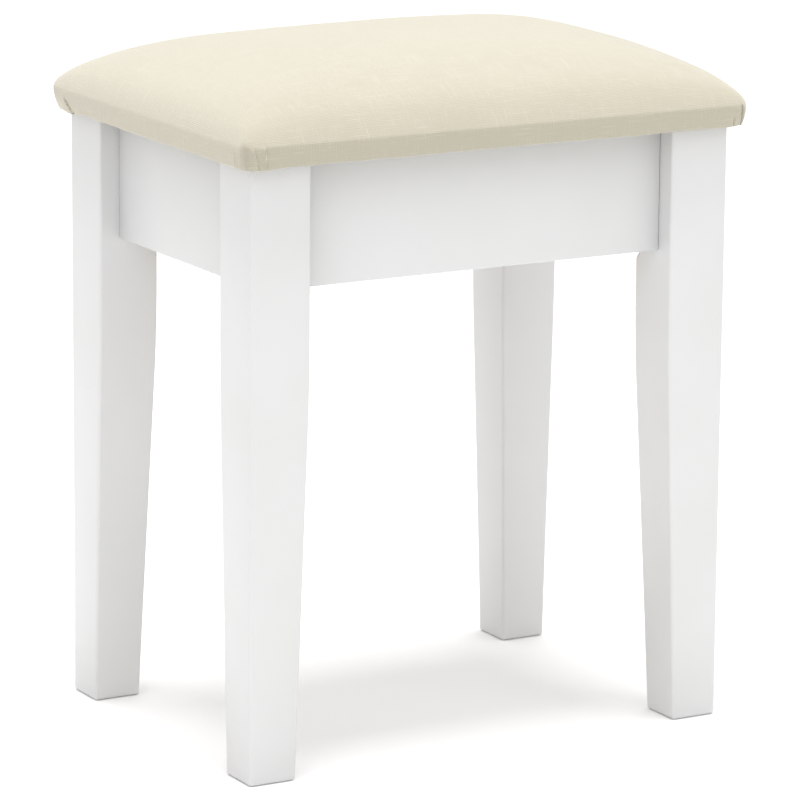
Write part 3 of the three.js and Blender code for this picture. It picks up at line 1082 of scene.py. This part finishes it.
@dataclass
class PanHeadScrews(CornerPart):
    """The screws through the blocks: into the aprons, and up into the seat board."""

    radius: float = 2 * MM
    head_height: float = 2.4 * MM
    pitch: float = 1.6 * MM
    tip: float = 4 * MM
    recess_length: float = 4.4 * MM
    recess_width: float = 0.9 * MM
    recess_depth: float = 1.5 * MM
    # Shares of the head's radius and height, from the middle of its top to its edge.
    dome: tuple[tuple[float, float], ...] = (
        (0.3, 0.0),
        (0.6, 0.05),
        (0.82, 0.2),
        (0.95, 0.45),
        (1.0, 0.75),
        (1.0, 1.0),
    )
    neck: float = 0.9
    plain: float = 1 * MM
    point_radius: float = 0.3 * MM
    sides: int = 24

    def build(self, zinc: bpy.types.Material) -> None:
        """Models and copies the screws.

        Args:
            zinc: The plated steel.
        """
        screws = (
            ("block_screw", "_first", Vector((0, -1, 0))),
            ("block_screw", "_second", Vector((-1, 0, 0))),
            ("seat_screw", "", UP),
        )
        for node, ending, way in screws:
            low, high = self.own_box(node, ending)
            length = abs((high - low).dot(way))
            start = (low + high) / 2 - way * length / 2
            screw = stand(self.shape(length), start, way)
            smooth(screw)
            self.spread(screw, f"pan_head_{node}", node, "zinc_steel", [zinc], ending)

    def shape(self, length: float) -> bpy.types.Object:
        """Models a screw along +Z, with its head's top on the origin.

        Args:
            length: The screw's length.

        Returns:
            The screw, with a cross recess.
        """
        wide, high = 2 * self.radius, self.head_height
        profile = [(wide * across, high * down) for across, down in self.dome]
        profile += [(self.radius * self.neck, high)]
        profile += thread(high + self.plain, length - self.tip, self.radius, self.pitch)
        screw = turned("screw", [*profile, (self.point_radius, length)], self.sides)
        long, thin = self.recess_length / 2, self.recess_width / 2
        cross = [
            cube("arm", Vector((-x, -y, -self.plain)), Vector((x, y, self.recess_depth)))
            for x, y in ((long, thin), (thin, long))
        ]
        cut_away(screw, cross)
        return screw


@dataclass
class Staples:
    """The staples that hold the cloth's folded margin to the board, between the legs."""

    wire: float = 1.2 * MM
    crown_thickness: float = 0.55 * MM
    crown_length: float = 10 * MM
    spacing: float = 22 * MM
    inset: float = 18.5 * MM
    slant: float = math.radians(4)
    leg_length: float = 0.5 * MM
    rounding: float = 0.15 * MM
    # How far apart the four rows lie in the noise that slants the staples.
    row_step: float = 7.3

    def build(self, zinc: bpy.types.Material) -> None:
        """Models one staple, copies it round the margin and joins the copies.

        Args:
            zinc: The plated steel.
        """
        staple = self.shape()
        low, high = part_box("fabric_cover")
        near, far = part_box("leg_front_left"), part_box("leg_back_right")
        copies = []
        for turns, side in enumerate(SIDES):
            axis = turns % 2
            room = far[0][axis] - near[1][axis] - 2 * self.crown_length
            count = round(room / self.spacing)
            out = high[1 - axis] - self.inset
            for i in range(count + 1):
                along = room * (i / count - 0.5)
                seed = Vector((along / self.spacing, turns * self.row_step, 0))
                tilt = self.slant * noise.noise(seed)
                place = Matrix.Translation((along, -out, low.z)) @ Matrix.Rotation(tilt, 4, "Z")
                turn = Matrix.Rotation(turns * QUARTER_TURN, 4, "Z")
                copies.append(moved_copy(staple, f"staple_{side}_{i}", turn @ place))
        bpy.data.meshes.remove(staple.data)
        select_only(*copies)
        bpy.ops.object.join()
        row = settle(copies[0], "margin_staples")
        smooth(row, 40)
        dress(row, zinc)
        hand_over(row, [])

    def shape(self) -> bpy.types.Object:
        """Models one staple under the origin: a flat wire with both ends bent up.

        Returns:
            The staple.
        """
        half = Vector((self.crown_length / 2, self.wire / 2, 0))
        low = Vector((-half.x, -half.y, -self.crown_thickness))
        staple = cube("staple", low, half)
        with edit_mode(staple, "FACE"):
            for x in (-1, 1):
                bpy.ops.mesh.select_all(action="SELECT")
                line = x * (half.x - self.crown_thickness)
                bpy.ops.mesh.bisect(plane_co=(line, 0, 0), plane_no=(1, 0, 0))
            inner = half.x - self.crown_thickness - NEAR / 10
            pick(staple, "faces", lambda co: co.z > -NEAR / 10 and abs(co.x) > inner)
            step = {"value": (0, 0, self.leg_length)}
            bpy.ops.mesh.extrude_region_move(TRANSFORM_OT_translate=step)
        ease_edges(staple, self.rounding, 2)
        return staple


# ------------------------------------------------------------------ seat


@dataclass(frozen=True)
class Shoulder:
    """How the crown falls away towards one pair of sides.

    The height rises from the rim with a quick start over `bend` and a slow swell over the rest.
    """

    bend: float
    quick_share: float
    swell: float

    def height(self, place: np.ndarray, half: float) -> np.ndarray:
        """Gives the share of the full height.

        Args:
            place: Places across the seat, from -1 to 1.
            half: Half the seat's size, in metres.

        Returns:
            Heights from 0 at the rim to 1 in the middle.
        """
        inward = half * (1 - np.abs(place))
        quick = (1 - np.exp(-inward / self.bend)) / (1 - math.exp(-half / self.bend))
        slow = 1 - np.abs(place) ** self.swell
        return self.quick_share * quick + (1 - self.quick_share) * slow


def eased(share: np.ndarray) -> np.ndarray:
    """Eases shares from 0 to 1, flat at both ends."""
    share = np.clip(share, 0, 1)
    return share**2 * (3 - 2 * share)


class LooseEdge(Enum):
    """Which way a pleat's loose edge faces along the seat's edge, as seen from above."""

    CLOCKWISE = -1
    ANTICLOCKWISE = 1


@dataclass(frozen=True)
class Pleat:
    """A fold of spare cloth at one corner, pressed flat against the seat's edge.

    Its loose edge runs down between two points. Each is a distance along the seat's edge from
    the corner, positive anticlockwise as seen from above, and a depth under the rim. All its
    sizes are in millimetres.
    """

    corner: str
    top: tuple[float, float]
    foot: tuple[float, float]
    loose_edge: LooseEdge
    lift: float
    width: float
    gap: float
    gap_width: float = 0.55
    softness: float = 0.16
    # How far the line runs on past its ends, and where it fades, as shares of its length.
    run_on: float = 0.2
    fade_start: float = 0.12

    def push(self, along: np.ndarray, depth: np.ndarray) -> np.ndarray:
        """Gives how far the pleat pushes the cloth outwards.

        Args:
            along: Distances along the edge from the pleat's corner.
            depth: Depths under the rim.

        Returns:
            Outward moves in metres, negative in the gap beside the loose edge.
        """
        start, top, end, foot = (size * MM for size in (*self.top, *self.foot))
        run = (depth - top) / (foot - top)
        line = start + (end - start) * np.clip(run, -self.run_on, 1 + self.run_on)
        past = (along - line) * self.loose_edge.value
        # The limits keep the exponential in range.
        on_fold = 1 / (1 + np.exp(np.clip(past / (self.softness * MM), -40, 40)))
        raised = self.lift * MM * on_fold * np.exp(np.minimum(past, 0) / (self.width * MM))
        gap_width = self.gap_width * MM
        sunk = self.gap * MM * np.exp(-(((past - gap_width / 2) / gap_width) ** 2))
        return (raised - sunk) * eased((run + self.fade_start) / (2 * self.fade_start))


@dataclass(frozen=True)
class Sag:
    """A place where the lower edge hangs low and is tucked in, or is drawn up.

    All its sizes are in millimetres.
    """

    corner: str
    along: float
    width: float
    drop: float
    tuck: float = 0.0


@dataclass(frozen=True)
class Settling:
    """Settings of the cloth simulation: firm threads that fold easily, and the foam's push."""

    quality: int = 6
    mass: float = 0.001
    tension_stiffness: float = 18.0
    compression_stiffness: float = 3.0
    shear_stiffness: float = 2.0
    bending_stiffness: float = 4.0
    use_pressure: bool = True
    uniform_pressure_force: float = 2.0
    vertex_group_mass: str = "held"


@dataclass
class SeatCushion:
    """The upholstered seat: linen pulled over foam and over the board's edge, folded under."""

    sides: Shoulder = Shoulder(4.6 * MM, 0.30, 5.04)
    front: Shoulder = Shoulder(17.9 * MM, 0.654, 2.155)
    hip: float = 1.22
    corner_radius: float = 7 * MM
    edge_radius: float = 1.0 * MM
    edge_steps: int = 3
    turn_under: float = 28 * MM
    under_start: float = 6 * MM
    under_rows: int = 6
    # How clear the cloth's inner side stays of the board, all round.
    board_gap: float = 0.1 * MM
    steps: tuple[tuple[float, float], ...] = ((28 * MM, 1.2 * MM), (52 * MM, 2.6 * MM))
    coarse_step: float = 5.0 * MM
    band_rows: int = 6
    pull_in: float = 0.7 * MM
    start_height: float = 0.94
    settling: Settling = Settling()
    frames: int = 20
    most_movement: float = 2.7 * MM
    # Shares of the crown's height below which the cloth is tight, and above which it is loose.
    tight_level: float = 0.3
    loose_level: float = 0.9
    overhang: float = 9 * MM
    pleat_reach: float = 12 * MM
    ripple_fade: float = 0.3
    ripple: float = 0.45 * MM
    ripple_length: float = 55 * MM
    uneven_edge: float = 0.5 * MM
    uneven_length: float = 16 * MM
    # Each has its corner, top, foot and loose edge, then its lift, width and gap.
    pleats: tuple[Pleat, ...] = (
        Pleat("front_left", (5, 1), (9, 13), LooseEdge.ANTICLOCKWISE, 1.9, 1.3, 0.4),
        Pleat("front_left", (13, 0), (14, 13), LooseEdge.ANTICLOCKWISE, 2.1, 1.6, 0.5),
        Pleat("front_left", (-11, 3), (-11, 12), LooseEdge.CLOCKWISE, 0.4, 2, 0.5),
        Pleat("front_right", (-4, 0), (-3, 13), LooseEdge.CLOCKWISE, 0.9, 4, 1.3),
        Pleat("front_right", (-10, 8), (-10, 14), LooseEdge.CLOCKWISE, 0.5, 2, 0.9),
        Pleat("front_right", (9, 2), (12, 13), LooseEdge.ANTICLOCKWISE, 0.7, 3, 0.9),
        Pleat("back_right", (-5, 1), (-9, 13), LooseEdge.CLOCKWISE, 0.8, 3, 0.9),
        Pleat("back_right", (6, 2), (13, 13), LooseEdge.ANTICLOCKWISE, 0.9, 3, 1.0),
        Pleat("back_left", (20, 5.5), (34, 14), LooseEdge.ANTICLOCKWISE, 1.0, 7, 1.6),
        Pleat("back_left", (-7, 1), (-10, 13), LooseEdge.CLOCKWISE, 0.8, 3, 0.9),
    )
    sags: tuple[Sag, ...] = (
        Sag("front_left", 0, 9, drop=0.3, tuck=0.8),
        Sag("front_left", 14, 9, drop=1.2),
        Sag("front_right", 0, 8, drop=0.2, tuck=2.2),
        Sag("front_right", -16, 8, drop=0.7),
        Sag("back_right", 0, 9, drop=0.6, tuck=1.8),
        Sag("back_right", 12, 9, drop=0.9),
        Sag("back_left", 0, 11, drop=1.9, tuck=4.2),
        Sag("back_left", 26, 10, drop=1.3),
        Sag("back_left", 50, 9, drop=-0.8),
    )
    low: Vector = field(default_factory=lambda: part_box("fabric_cover")[0])
    high: Vector = field(default_factory=lambda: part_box("fabric_cover")[1])
    rim: float = field(default_factory=lambda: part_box("seat_board")[1].z)

    @property
    def rise(self) -> float:
        """Height of the crown above the board's upper edge."""
        return self.high.z - self.rim

    @property
    def core(self) -> np.ndarray:
        """Half sizes of the rectangle that the corners' rounding is centred on."""
        return np.array([self.high.x - self.corner_radius, self.high.y - self.corner_radius])

    def crown(self, u: np.ndarray, v: np.ndarray) -> np.ndarray:
        """Gives the crown's height above the rim.

        Args:
            u: Places across the long way, from -1 to 1.
            v: Places across the short way, from -1 to 1.

        Returns:
            Heights in metres.
        """
        # A height just above zero keeps the powers finite.
        across = np.maximum(self.sides.height(u, self.high.x), 1e-4)
        along = np.maximum(self.front.height(v, self.high.y), 1e-4)
        joined = (across**-self.hip + along**-self.hip - 1) ** (-1 / self.hip)
        return self.rise * joined

    def thread_lines(self, half: float, shoulder: Shoulder) -> tuple[np.ndarray, np.ndarray]:
        """Spaces grid lines along the crown, closer near its rim.

        Args:
            half: Half the seat's size across the lines.
            shoulder: The crown's shape across them.

        Returns:
            Where each line crosses the seat, from -1 to 1, and its distance from the middle
            measured along the cloth, in metres.
        """
        t = np.sin(np.linspace(0, QUARTER_TURN, 4000))
        z = self.rise * shoulder.height(t, half)
        length = np.concatenate([[0], np.cumsum(np.hypot(np.diff(half * t), np.diff(z)))])
        marks, edge = [], 0.0
        for zone, step in self.steps:
            marks.append(np.linspace(edge, zone, round((zone - edge) / step) + 1)[:-1])
            edge = zone
        rest = length[-1] - edge
        marks.append(np.linspace(edge, length[-1], round(rest / self.coarse_step) + 1))
        along = length[-1] - np.concatenate(marks)[::-1]
        along[0] = 0.0
        place = np.interp(along, length, t)
        return np.concatenate([-place[:0:-1], place]), np.concatenate([-along[:0:-1], along])

    def rounded(self, x: np.ndarray, y: np.ndarray) -> tuple[np.ndarray, np.ndarray]:
        """Pulls the corners of a rectangle of points in to the seat's corner radius.

        Args:
            x: The points' places the long way.
            y: The points' places the short way.

        Returns:
            The new places, the long way and the short way.
        """
        r = self.corner_radius
        over_x = np.clip(np.abs(x) - (self.high.x - r), 0, r)
        over_y = np.clip(np.abs(y) - (self.high.y - r), 0, r)
        new_x = over_x * np.sqrt(1 - (over_y / r) ** 2 / 2)
        new_y = over_y * np.sqrt(1 - (over_x / r) ** 2 / 2)
        return (
            np.sign(x) * (np.abs(x) - over_x + new_x),
            np.sign(y) * (np.abs(y) - over_y + new_y),
        )

    def cloth_mesh(self) -> tuple[bpy.types.Object, int]:
        """Builds the cloth as one sheet over the crown, down the band and under the board.

        Returns:
            The sheet, and how many of its vertices are the crown's. They come first.
        """
        u, s = self.thread_lines(self.high.x, self.sides)
        v, t = self.thread_lines(self.high.y, self.front)
        columns, rows = len(u), len(v)
        grid_u, grid_v = np.meshgrid(u, v)
        x, y = self.rounded(grid_u * self.high.x, grid_v * self.high.y)
        share = self.start_height
        z = self.rim + share * self.crown(grid_u, grid_v)
        points = np.stack([x, y, z], -1).reshape(-1, 3)
        map_s, map_t = np.meshgrid(s, t)
        cloth = np.stack([map_s, map_t], -1).reshape(-1, 2)
        index = np.arange(rows * columns).reshape(rows, columns)
        corner_lists = [index[:-1, :-1], index[:-1, 1:], index[1:, 1:], index[1:, :-1]]
        faces = np.stack(corner_lists, -1).reshape(-1, 4).tolist()
        loop = np.concatenate(
            [index[0, :-1], index[:-1, -1], index[-1, :0:-1], index[:0:-1, 0]]
        )
        runs = (columns - 1, rows - 1, columns - 1, rows - 1)
        ways = ((0, -1), (1, 0), (0, 1), (-1, 0))
        outward = np.concatenate([np.tile([way], (run, 1)) for way, run in zip(ways, runs)])
        rim_points, rim_cloth = points[loop], cloth[loop]
        previous = loop
        for inset, level, run in self.rings():
            ring = rim_points.copy()
            ring[:, :2] = self.inset(rim_points[:, :2], inset)
            ring[:, 2] = level
            current = np.arange(len(points), len(points) + len(loop))
            points = np.vstack([points, ring])
            cloth = np.vstack([cloth, rim_cloth + outward * run])
            quads = [previous, current, np.roll(current, -1), np.roll(previous, -1)]
            faces += np.stack(quads, -1).tolist()
            previous = current
        mesh = bpy.data.meshes.new("upholstered_seat")
        mesh.from_pydata(points.tolist(), [], faces)
        layer = mesh.uv_layers.new(name="cloth")
        corners = np.empty(len(mesh.loops), np.int32)
        mesh.loops.foreach_get("vertex_index", corners)
        layer.data.foreach_set("uv", cloth[corners].astype(np.float32).ravel())
        seat = bpy.data.objects.new("upholstered_seat", mesh)
        bpy.context.scene.collection.objects.link(seat)
        seat.vertex_groups.new(name="held").add(loop.tolist(), 1.0, "REPLACE")
        return seat, rows * columns

    def inset(self, plan: np.ndarray, distance: float) -> np.ndarray:
        """Draws outline points in towards the seat's middle, square to the outline.

        Args:
            plan: Rows of x and y.
            distance: How far in they go.

        Returns:
            The new rows.
        """
        core = self.core
        nearest = np.clip(plan, -core, core)
        out = plan - nearest
        size = np.linalg.norm(out, axis=1, keepdims=True)
        shrunk = nearest + out / size * np.maximum(size - distance, 0)
        # Past the corner radius the outline is a plain smaller rectangle.
        beyond = max(distance - self.corner_radius, 0)
        return np.clip(shrunk, -core + beyond, core - beyond) if beyond else shrunk

    def rings(self) -> list[tuple[float, float, float]]:
        """Lists the rings of cloth below the rim.

        They go down the band, round its lower edge, under the board to the cloth's cut edge,
        and then close the seat around the space that its board fills.

        Returns:
            For each ring its inset, its height and its distance along the cloth.
        """
        board_low, board_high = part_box("seat_board")
        straight = self.rim - self.low.z - self.edge_radius
        rings = []
        for i in range(1, self.band_rows + 1):
            run = straight * i / self.band_rows
            rings.append((self.pull_in * (i / self.band_rows) ** 2, self.rim - run, run))
        for i in range(1, self.edge_steps + 1):
            angle = QUARTER_TURN * i / self.edge_steps
            inset = self.pull_in + self.edge_radius * (1 - math.cos(angle))
            level = self.low.z + self.edge_radius * (1 - math.sin(angle))
            rings.append((inset, level, straight + self.edge_radius * angle))
        under = np.linspace(self.under_start / MM, self.turn_under / MM, self.under_rows) * MM
        rings += [(inset, self.low.z, straight + inset) for inset in under.tolist()]
        around = self.high.x - board_high.x - self.board_gap
        below, above = board_low.z - self.board_gap, board_high.z + self.board_gap
        for inset, level in ((self.turn_under, below), (around, below), (around, above)):
            rings.append((inset, level, straight + self.turn_under))
        return rings

    def relax(self, seat: bpy.types.Object, crown_size: int) -> None:
        """Lets the crown swell over its foam by cloth simulation, held at the board's edge.

        Args:
            seat: The whole sheet, which starts a little too low.
            crown_size: How many of its vertices are the crown's.
        """
        scene = bpy.context.scene
        crown = moved_copy(seat, "crown", Matrix.Identity(4))
        mesh = bmesh.new()
        mesh.from_mesh(crown.data)
        band = [vertex for vertex in mesh.verts if vertex.index >= crown_size]
        bmesh.ops.delete(mesh, geom=band, context="VERTS")
        mesh.to_mesh(crown.data)
        mesh.free()
        cloth = crown.modifiers.new("Cloth", "CLOTH")
        for name, value in asdict(self.settling).items():
            setattr(cloth.settings, name, value)
        cloth.settings.effector_weights.gravity = 0.0
        cloth.point_cache.frame_start = 1
        cloth.point_cache.frame_end = self.frames
        for frame in range(1, self.frames + 1):
            scene.frame_set(frame)
        settled = crown.evaluated_get(bpy.context.evaluated_depsgraph_get())
        before = self.positions(crown.data)
        move = self.positions(settled.data) - before
        bpy.data.meshes.remove(crown.data)
        scene.frame_set(1)
        size = np.linalg.norm(move, axis=1, keepdims=True)
        LOG.info("the cloth moved %.1f mm at most", size.max() / MM)
        move *= np.minimum(1, self.most_movement / np.maximum(size, TINY))
        points = self.positions(seat.data)
        # Towards the rim and the corners, where the cloth is pulled tight, it keeps its shape.
        tight = before.copy()
        tight[:, 2] = self.rim + (before[:, 2] - self.rim) / self.start_height
        level = (tight[:, 2] - self.rim) / self.rise
        loose = eased((level - self.tight_level) / (self.loose_level - self.tight_level))
        loose = loose[:, None]
        points[:crown_size] = tight * (1 - loose) + (before + move) * loose
        rise = points[:crown_size, 2] - self.rim
        LOG.info("the crown rose to %.1f mm before trimming", (self.rim + rise.max()) / MM)
        points[:crown_size, 2] = self.rim + rise * self.rise / rise.max()
        self.set_positions(seat.data, points)

    @staticmethod
    def positions(mesh: bpy.types.Mesh) -> np.ndarray:
        """Reads where a mesh's vertices are.

        Args:
            mesh: The mesh.

        Returns:
            Rows of x, y and z.
        """
        flat = np.empty(len(mesh.vertices) * 3, np.float32)
        mesh.vertices.foreach_get("co", flat)
        return flat.reshape(-1, 3).astype(float)

    @staticmethod
    def set_positions(mesh: bpy.types.Mesh, points: np.ndarray) -> None:
        """Moves a mesh's vertices to rows of x, y and z."""
        mesh.vertices.foreach_set("co", points.astype(np.float32).ravel())
        mesh.update()

    def along_edge(self, points: np.ndarray, corner: str) -> np.ndarray:
        """Measures points along the seat's edge.

        Args:
            points: Rows of x, y and z.
            corner: The corner to measure from.

        Returns:
            Distances from the corner's middle, positive anticlockwise, and far away for
            points nearer to another corner.
        """
        sign_x = -1 if corner.endswith("left") else 1
        sign_y = -1 if corner.startswith("front") else 1
        r = self.corner_radius
        x = points[:, 0] * sign_x - (self.high.x - r)
        y = points[:, 1] * sign_y - (self.high.y - r)
        arc = r * (np.arctan2(np.maximum(y, 0), np.maximum(x, TINY)) - QUARTER_TURN / 2)
        along = np.where(x < 0, r * QUARTER_TURN / 2 - x, arc)
        by_side = (y < 0) & (x >= y)
        along = np.where(by_side, y - r * QUARTER_TURN / 2, along)
        far = (x < -self.high.x) | (y < -self.high.y)
        return np.where(far, 1.0, along * sign_x * sign_y)

    def disturb(self, seat: bpy.types.Object) -> None:
        """Gives the cloth its corner pleats, its uneven lower edge and its faint ripples.

        Args:
            seat: The whole sheet.
        """
        points = self.positions(seat.data)
        offset = points[:, :2] - np.clip(points[:, :2], -self.core, self.core)
        reach = np.linalg.norm(offset, axis=1)
        outward = offset / np.maximum(reach, TINY)[:, None]
        inset = self.corner_radius - reach
        depth = self.rim - points[:, 2]
        outer = np.clip((self.overhang - inset) / self.overhang, 0, 1) * (reach > 1e-6)
        on_band = outer * (depth > -self.pleat_reach) * (points[:, 2] > self.low.z + NEAR / 2)
        hang = outer**0.5 * np.clip(depth / (self.rim - self.low.z), 0, 1) ** 2
        push = np.zeros(len(points))
        drop = np.zeros(len(points))
        for pleat in self.pleats:
            push += pleat.push(self.along_edge(points, pleat.corner), depth) * on_band
        for sag in self.sags:
            away = self.along_edge(points, sag.corner) - sag.along * MM
            near = np.exp(-((away / (sag.width * MM)) ** 2))
            drop += sag.drop * MM * near
            push -= sag.tuck * MM * near * hang
        for i, (x, y, z) in enumerate(points):
            if hang[i] > 0:
                drop[i] += self.uneven_edge * noise.noise(Vector((x, y, 0)) / self.uneven_length)
            elif z > self.rim:
                wave = noise.noise(Vector((x, y, 0)) / self.ripple_length)
                fade = min((z - self.rim) / (self.ripple_fade * self.rise), 1)
                points[i, 2] += self.ripple * wave * fade
        points[:, :2] += outward * push[:, None]
        points[:, 2] -= drop * hang
        # The highest point goes back to the crown's full height.
        share = self.rise / (points[:, 2].max() - self.rim)
        above = points[:, 2] > self.rim
        points[above, 2] = self.rim + (points[above, 2] - self.rim) * share
        self.set_positions(seat.data, points)

    def build(self, linen: bpy.types.Material) -> None:
        """Models, settles and dresses the seat.

        Args:
            linen: The fabric.
        """
        seat, crown_size = self.cloth_mesh()
        self.relax(seat, crown_size)
        apply_modifier(seat, "SUBSURF", levels=1, render_levels=1)
        self.disturb(seat)
        with edit_mode(seat, "EDGE"):
            bpy.ops.mesh.select_non_manifold()
            bpy.ops.mesh.edge_face_add()
        smooth(seat, 60)
        dress(seat, linen)
        hand_over(seat, ["fabric_cover", "foam_pad"])


# ------------------------------------------------------------------ studio


@dataclass(frozen=True)
class PaperSweep:
    """Matt white backdrop paper, rolled out flat: an even pale ground without gloss."""

    colour: str = "#F8F8F8"
    roughness: float = 0.9

    def material(self) -> bpy.types.Material:
        """Builds the paper's material."""
        colour = srgb(self.colour)
        return new_material("paper_sweep", Base_Color=colour, Roughness=self.roughness)[0]


@dataclass(frozen=True)
class Softbox:
    """One large soft light: where it hangs, its width and height, and its power in watts."""

    name: str
    place: tuple[float, float, float]
    size: tuple[float, float]
    watts: float


@dataclass(frozen=True)
class Studio:
    """A plain pale floor, a white surround and soft lights, with the camera in place."""

    aim: tuple[float, float, float] = (0.0040, 0.0, 0.2043)
    distance: float = 3.290
    heading: float = math.radians(29.743)
    look_down: float = math.radians(12.917)
    roll: float = math.radians(0.484)
    lens: float = 226.4
    surround: float = 0.88
    floor_size: float = 40.0
    # The floor lies this far under the feet, so that the two don't flicker.
    floor_drop: float = 0.2 * MM
    sensor_width: float = 36.0
    far_limit: float = 100.0
    softboxes: tuple[Softbox, ...] = (
        Softbox("top_softbox", (0.0, 0.0, 3.6), (1.6, 1.6), 108.0),
        Softbox("left_softbox", (-2.6, -2.0, 2.2), (2.4, 2.4), 17.0),
        Softbox("right_softbox", (1.0, -2.6, 3.2), (2.4, 2.4), 18.0),
    )

    def build(self) -> None:
        """Sets up the floor, the surround, the lights and the camera."""
        self.floor()
        self.world()
        for softbox in self.softboxes:
            self.hang(softbox)
        self.camera()
        bpy.context.scene.view_settings.view_transform = "Standard"

    def floor(self) -> None:
        """Lays the floor just under the feet."""
        bpy.ops.object.select_all(action="DESELECT")
        low = (0, 0, -self.floor_drop)
        bpy.ops.mesh.primitive_plane_add(size=self.floor_size, location=low)
        floor = bpy.context.active_object
        floor.name = "studio_floor"
        dress(floor, PaperSweep().material())

    def world(self) -> None:
        """Surrounds the scene with even white light."""
        world = bpy.data.worlds.new("studio_surround")
        world.use_nodes = True
        tree = world.node_tree
        tree.nodes.clear()
        glow = add_node(tree, "Background", {"Color": srgb("#FFFFFF"), "Strength": self.surround})
        add_node(tree, "OutputWorld", {"Surface": glow.outputs["Background"]})
        bpy.context.scene.world = world

    def hang(self, softbox: Softbox) -> None:
        """Hangs one soft light that faces the stool.

        Args:
            softbox: The light.
        """
        light = bpy.data.lights.new(softbox.name, "AREA")
        light.shape = "RECTANGLE"
        light.size, light.size_y = softbox.size
        light.energy = softbox.watts
        lamp = bpy.data.objects.new(softbox.name, light)
        way = Vector(self.aim) - Vector(softbox.place)
        lamp.location = softbox.place
        lamp.rotation_euler = way.to_track_quat("-Z", "Y").to_euler()
        bpy.context.scene.collection.objects.link(lamp)

    def camera(self) -> None:
        """Places the camera and makes it the scene's."""
        forward = Vector(
            (
                math.sin(self.heading) * math.cos(self.look_down),
                math.cos(self.heading) * math.cos(self.look_down),
                -math.sin(self.look_down),
            )
        )
        level = Vector((math.cos(self.heading), -math.sin(self.heading), 0))
        upright = level.cross(forward)
        right = math.cos(self.roll) * level + math.sin(self.roll) * upright
        up = -math.sin(self.roll) * level + math.cos(self.roll) * upright
        eye = Vector(self.aim) - self.distance * forward
        lens = bpy.data.cameras.new("studio_camera")
        lens.lens = self.lens
        lens.sensor_width = self.sensor_width
        lens.clip_end = self.far_limit
        camera = bpy.data.objects.new("studio_camera", lens)
        axes = Matrix((right, up, -forward)).transposed().to_4x4()
        camera.matrix_world = Matrix.Translation(eye) @ axes
        bpy.context.scene.collection.objects.link(camera)
        bpy.context.scene.camera = camera


def finish_hidden_wood(nodes: dict[str, bpy.types.Object]) -> None:
    """Gives the CAD nodes that stay, the dowels and the seat board, their bare wood.

    Args:
        nodes: The frame's objects by name.
    """
    beech = [
        BareWood(f"beech_dowel_{grain.name.lower()}", grain, "#C9A678", "#A97F52", 3.0).material()
        for grain in (Grain.ALONG_X, Grain.ALONG_Y)
    ]
    for node in (name for dowels in DOWELS.values() for name in dowels):
        low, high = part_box(node)
        refinish(nodes[node], beech[high.y - low.y > high.x - low.x])
    birch = BareWood("birch_plywood", Grain.ALONG_X, "#D3B88C", "#B39262", 14.0, roughness=0.6)
    refinish(nodes["seat_board"], birch.material())


def main() -> None:
    """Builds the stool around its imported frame, then the studio."""
    logging.basicConfig(level=logging.INFO, format="%(name)s: %(message)s")
    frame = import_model()
    lacquer = {grain: SatinLacquer(grain).material() for grain in Grain}
    Legs().build(lacquer[Grain.ALONG_Z])
    Aprons().build(lacquer[Grain.ALONG_X], lacquer[Grain.ALONG_Y])
    diagonals = (("falling", -math.pi / 4), ("rising", math.pi / 4))
    rubberwood = [
        BareWood(
            f"sawn_rubberwood_{name}", Grain.ALONG_X, "#CFB48A", "#A98B60", 7.0, turn=turn
        ).material()
        for name, turn in diagonals
    ]
    zinc = ZincPlate().material()
    CornerBlocks().build(rubberwood)
    BoltedJoints().build(zinc)
    PanHeadScrews().build(zinc)
    Staples().build(zinc)
    finish_hidden_wood(frame["nodes"])
    SeatCushion().build(LinenWeave().material())
    Studio().build()


if __name__ == "__main__":
    main()
